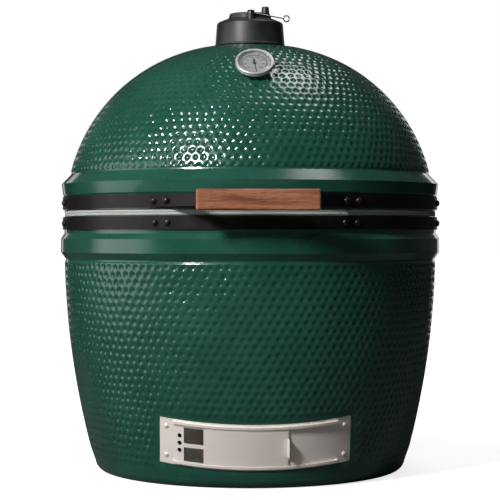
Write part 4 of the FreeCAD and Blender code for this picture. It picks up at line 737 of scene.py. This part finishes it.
# Vent cap: an iron casting that drops over the dome's neck on a felt ring, coated satin black. A disc
# swings over its hole, with a smaller damper wheel riveted on top, turned by a moulded knob.
cap_iron = Finish("coated_casting", coat_weight=0.2, coat_roughness=0.35, specular_ior_level=0.45)
skin_sand = cap_iron.noise(420, 4, 0.6)
patches = cap_iron.noise(24, 4, 0.6)
cap_iron.set(base_color=cap_iron.mix(cap_iron.between(patches, 0.4, 0.75), (0.017, 0.017, 0.018),
                                     (0.036, 0.036, 0.038)),
             roughness=cap_iron.between(patches, 0.3, 0.7, 0.36, 0.52))
cap_iron.bump(skin_sand, 0.00032)
dress(cap_iron, "vent_collar", "vent_disc", "damper_wheel")

bright_wire = Finish("bright_wire", metallic=1.0)
wire_grain = bright_wire.noise(300, 2, 0.5)
bright_wire.set(base_color=bright_wire.mix(wire_grain, (0.48, 0.46, 0.44), (0.68, 0.66, 0.63)),
                roughness=0.27)
bright_wire.bump(wire_grain, 0.00002)
dress(bright_wire, "vent_handle")

knob = Finish("moulded_black", specular_ior_level=0.45)
moulding = knob.noise(800, 3, 0.5)
knob.set(base_color=knob.mix(moulding, (0.018, 0.018, 0.019), (0.034, 0.034, 0.036)),
         roughness=knob.between(moulding, 0.3, 0.7, 0.32, 0.46))
knob.bump(moulding, 0.00008)
dress(knob, "damper_knob")

# Floor and light: a pale seamless floor that glows for the camera, its glow weaker near the part as a
# painted shade that fades out into a white surround, a soft box up on the left, a wide one overhead, a
# broad weak one to the left, a low one in front that makes no highlight, and two tall ones behind that draw
# the pale edges of the glaze.
FLOOR_HALF = 30.0
FLOOR_DROP = 0.0004
FLOOR_SHADE_FADE = (0.45, 1.6)
FLOOR_GLOW = (0.80, 1.02)
FLOOR_BOUNCE = 0.10
SKY_LIGHT = 0.035


def graph_node(tree, kind, settings=None, inputs=None):
    """A node of any tree: its settings first, then its sockets' values, or links from other sockets."""
    made = tree.nodes.new(kind)
    for name, value in (settings or {}).items():
        setattr(made, name, value)
    for name, value in (inputs or {}).items():
        if isinstance(value, bpy.types.NodeSocket):
            tree.links.new(value, made.inputs[name])
        else:
            made.inputs[name].default_value = value
    return made


floor_corners = np.array([(-1, -1), (1, -1), (1, 1), (-1, 1)]) * FLOOR_HALF
floor_mesh = bpy.data.meshes.new("floor")
floor_mesh.from_pydata([(x, y, -FLOOR_DROP) for x, y in floor_corners], [], [(0, 1, 2, 3)])
floor = bpy.data.objects.new("floor", floor_mesh)
bpy.context.scene.collection.objects.link(floor)
pale = bpy.data.materials.new("pale_floor")
pale.use_nodes = True
tree = pale.node_tree
tree.nodes.clear()
spot = graph_node(tree, "ShaderNodeTexCoord")
reach = graph_node(tree, "ShaderNodeVectorMath", {"operation": "LENGTH"}, {0: spot.outputs["Object"]})
# Painted shade: the floor's glow is weaker close to the part, rising from 0.80 near it to 1.02 far out.
glow = graph_node(tree, "ShaderNodeMapRange", {"interpolation_type": "SMOOTHSTEP"}, {
    "Value": reach.outputs["Value"], "From Min": FLOOR_SHADE_FADE[0], "From Max": FLOOR_SHADE_FADE[1],
    "To Min": FLOOR_GLOW[0], "To Max": FLOOR_GLOW[1]})
seen = graph_node(tree, "ShaderNodeBsdfDiffuse", {}, {"Color": (0.93, 0.93, 0.93, 1)})
lift = graph_node(tree, "ShaderNodeEmission", {}, {"Strength": glow.outputs[0]})
both = graph_node(tree, "ShaderNodeAddShader", {}, {0: seen.outputs[0], 1: lift.outputs[0]})
unseen = graph_node(tree, "ShaderNodeBsdfDiffuse", {}, {"Color": (FLOOR_BOUNCE,) * 3 + (1,)})
path = graph_node(tree, "ShaderNodeLightPath")
choose = graph_node(tree, "ShaderNodeMixShader", {}, {
    0: path.outputs["Is Camera Ray"], 1: unseen.outputs[0], 2: both.outputs[0]})
graph_node(tree, "ShaderNodeOutputMaterial", {}, {"Surface": choose.outputs[0]})
floor_mesh.materials.append(pale)

world = bpy.data.worlds.new("surround")
bpy.context.scene.world = world
world.use_nodes = True
sky = world.node_tree.nodes["Background"]
sky.inputs["Color"].default_value = (1, 1, 1, 1)
sky_path = graph_node(world.node_tree, "ShaderNodeLightPath")
sky_level = graph_node(world.node_tree, "ShaderNodeMapRange", {}, {
    "Value": sky_path.outputs["Is Camera Ray"], "To Min": SKY_LIGHT, "To Max": 1.0})
world.node_tree.links.new(sky_level.outputs[0], sky.inputs["Strength"])


def soft_box(name, place, aim, wide, tall, power, softness=0.2, mirrored=True):
    """A rectangular area light at place that faces aim, its brightness falling off towards its edges.
    One that isn't mirrored lights the part but makes no highlight on it."""
    lamp = bpy.data.lights.new(name, "AREA")
    lamp.shape = "RECTANGLE"
    lamp.size = wide
    lamp.size_y = tall
    lamp.energy = power
    lamp.use_nodes = True
    tree = lamp.node_tree
    shape = graph_node(tree, "ShaderNodeNewGeometry")
    split = graph_node(tree, "ShaderNodeSeparateXYZ", {}, {0: shape.outputs["Parametric"]})
    fade = []
    for side in (0, 1):
        middle = graph_node(tree, "ShaderNodeMath", {"operation": "PINGPONG"}, {
            0: split.outputs[side], 1: 0.5})
        fade.append(graph_node(tree, "ShaderNodeMapRange", {"interpolation_type": "SMOOTHSTEP"}, {
            "Value": middle.outputs[0], "From Max": softness}).outputs[0])
    level = graph_node(tree, "ShaderNodeMath", {"operation": "MULTIPLY"}, dict(enumerate(fade)))
    tree.links.new(level.outputs[0], tree.nodes["Emission"].inputs["Strength"])
    made = bpy.data.objects.new(name, lamp)
    bpy.context.scene.collection.objects.link(made)
    made.location = place
    made.visible_glossy = mirrored
    made.rotation_euler = (Vector(aim) - Vector(place)).to_track_quat("-Z", "Y").to_euler()


soft_box("key_left", (-1.80, -2.3, 2.25), (0, 0, 0.6), 0.7, 0.7, 175)
soft_box("fill_left", (-3.2, -0.5, 0.9), (0, 0, 0.5), 3.6, 3.0, 53, 0.35)
soft_box("fill_front", (-0.9, -4.2, 0.35), (0, 0, 0.3), 1.6, 1.2, 26, 0.45, mirrored=False)
soft_box("overhead", (0.75, 0.35, 3.1), (0, 0, 0.6), 1.9, 1.3, 44, 0.45)
soft_box("edge_left", (-1.5, 3.2, 0.9), (0, 0, 0.55), 0.5, 2.4, 2.2)
soft_box("edge_right", (1.5, 3.2, 0.9), (0, 0, 0.55), 0.5, 2.4, 3.2)

# Camera: level with the middle of the part, a long lens, a touch left of straight ahead.
lens = bpy.data.cameras.new("camera")
lens.lens = 120.7
lens.sensor_width = 36
lens.shift_y = -0.034
lens.dof.use_dof = False
camera = bpy.data.objects.new("camera", lens)
bpy.context.scene.collection.objects.link(camera)
camera.location = (-0.1256, -3.598, 0.501)
camera.rotation_euler = (math.pi / 2, 0, math.radians(-2))
bpy.context.scene.camera = camera
bpy.context.scene.view_settings.view_transform = "Standard"
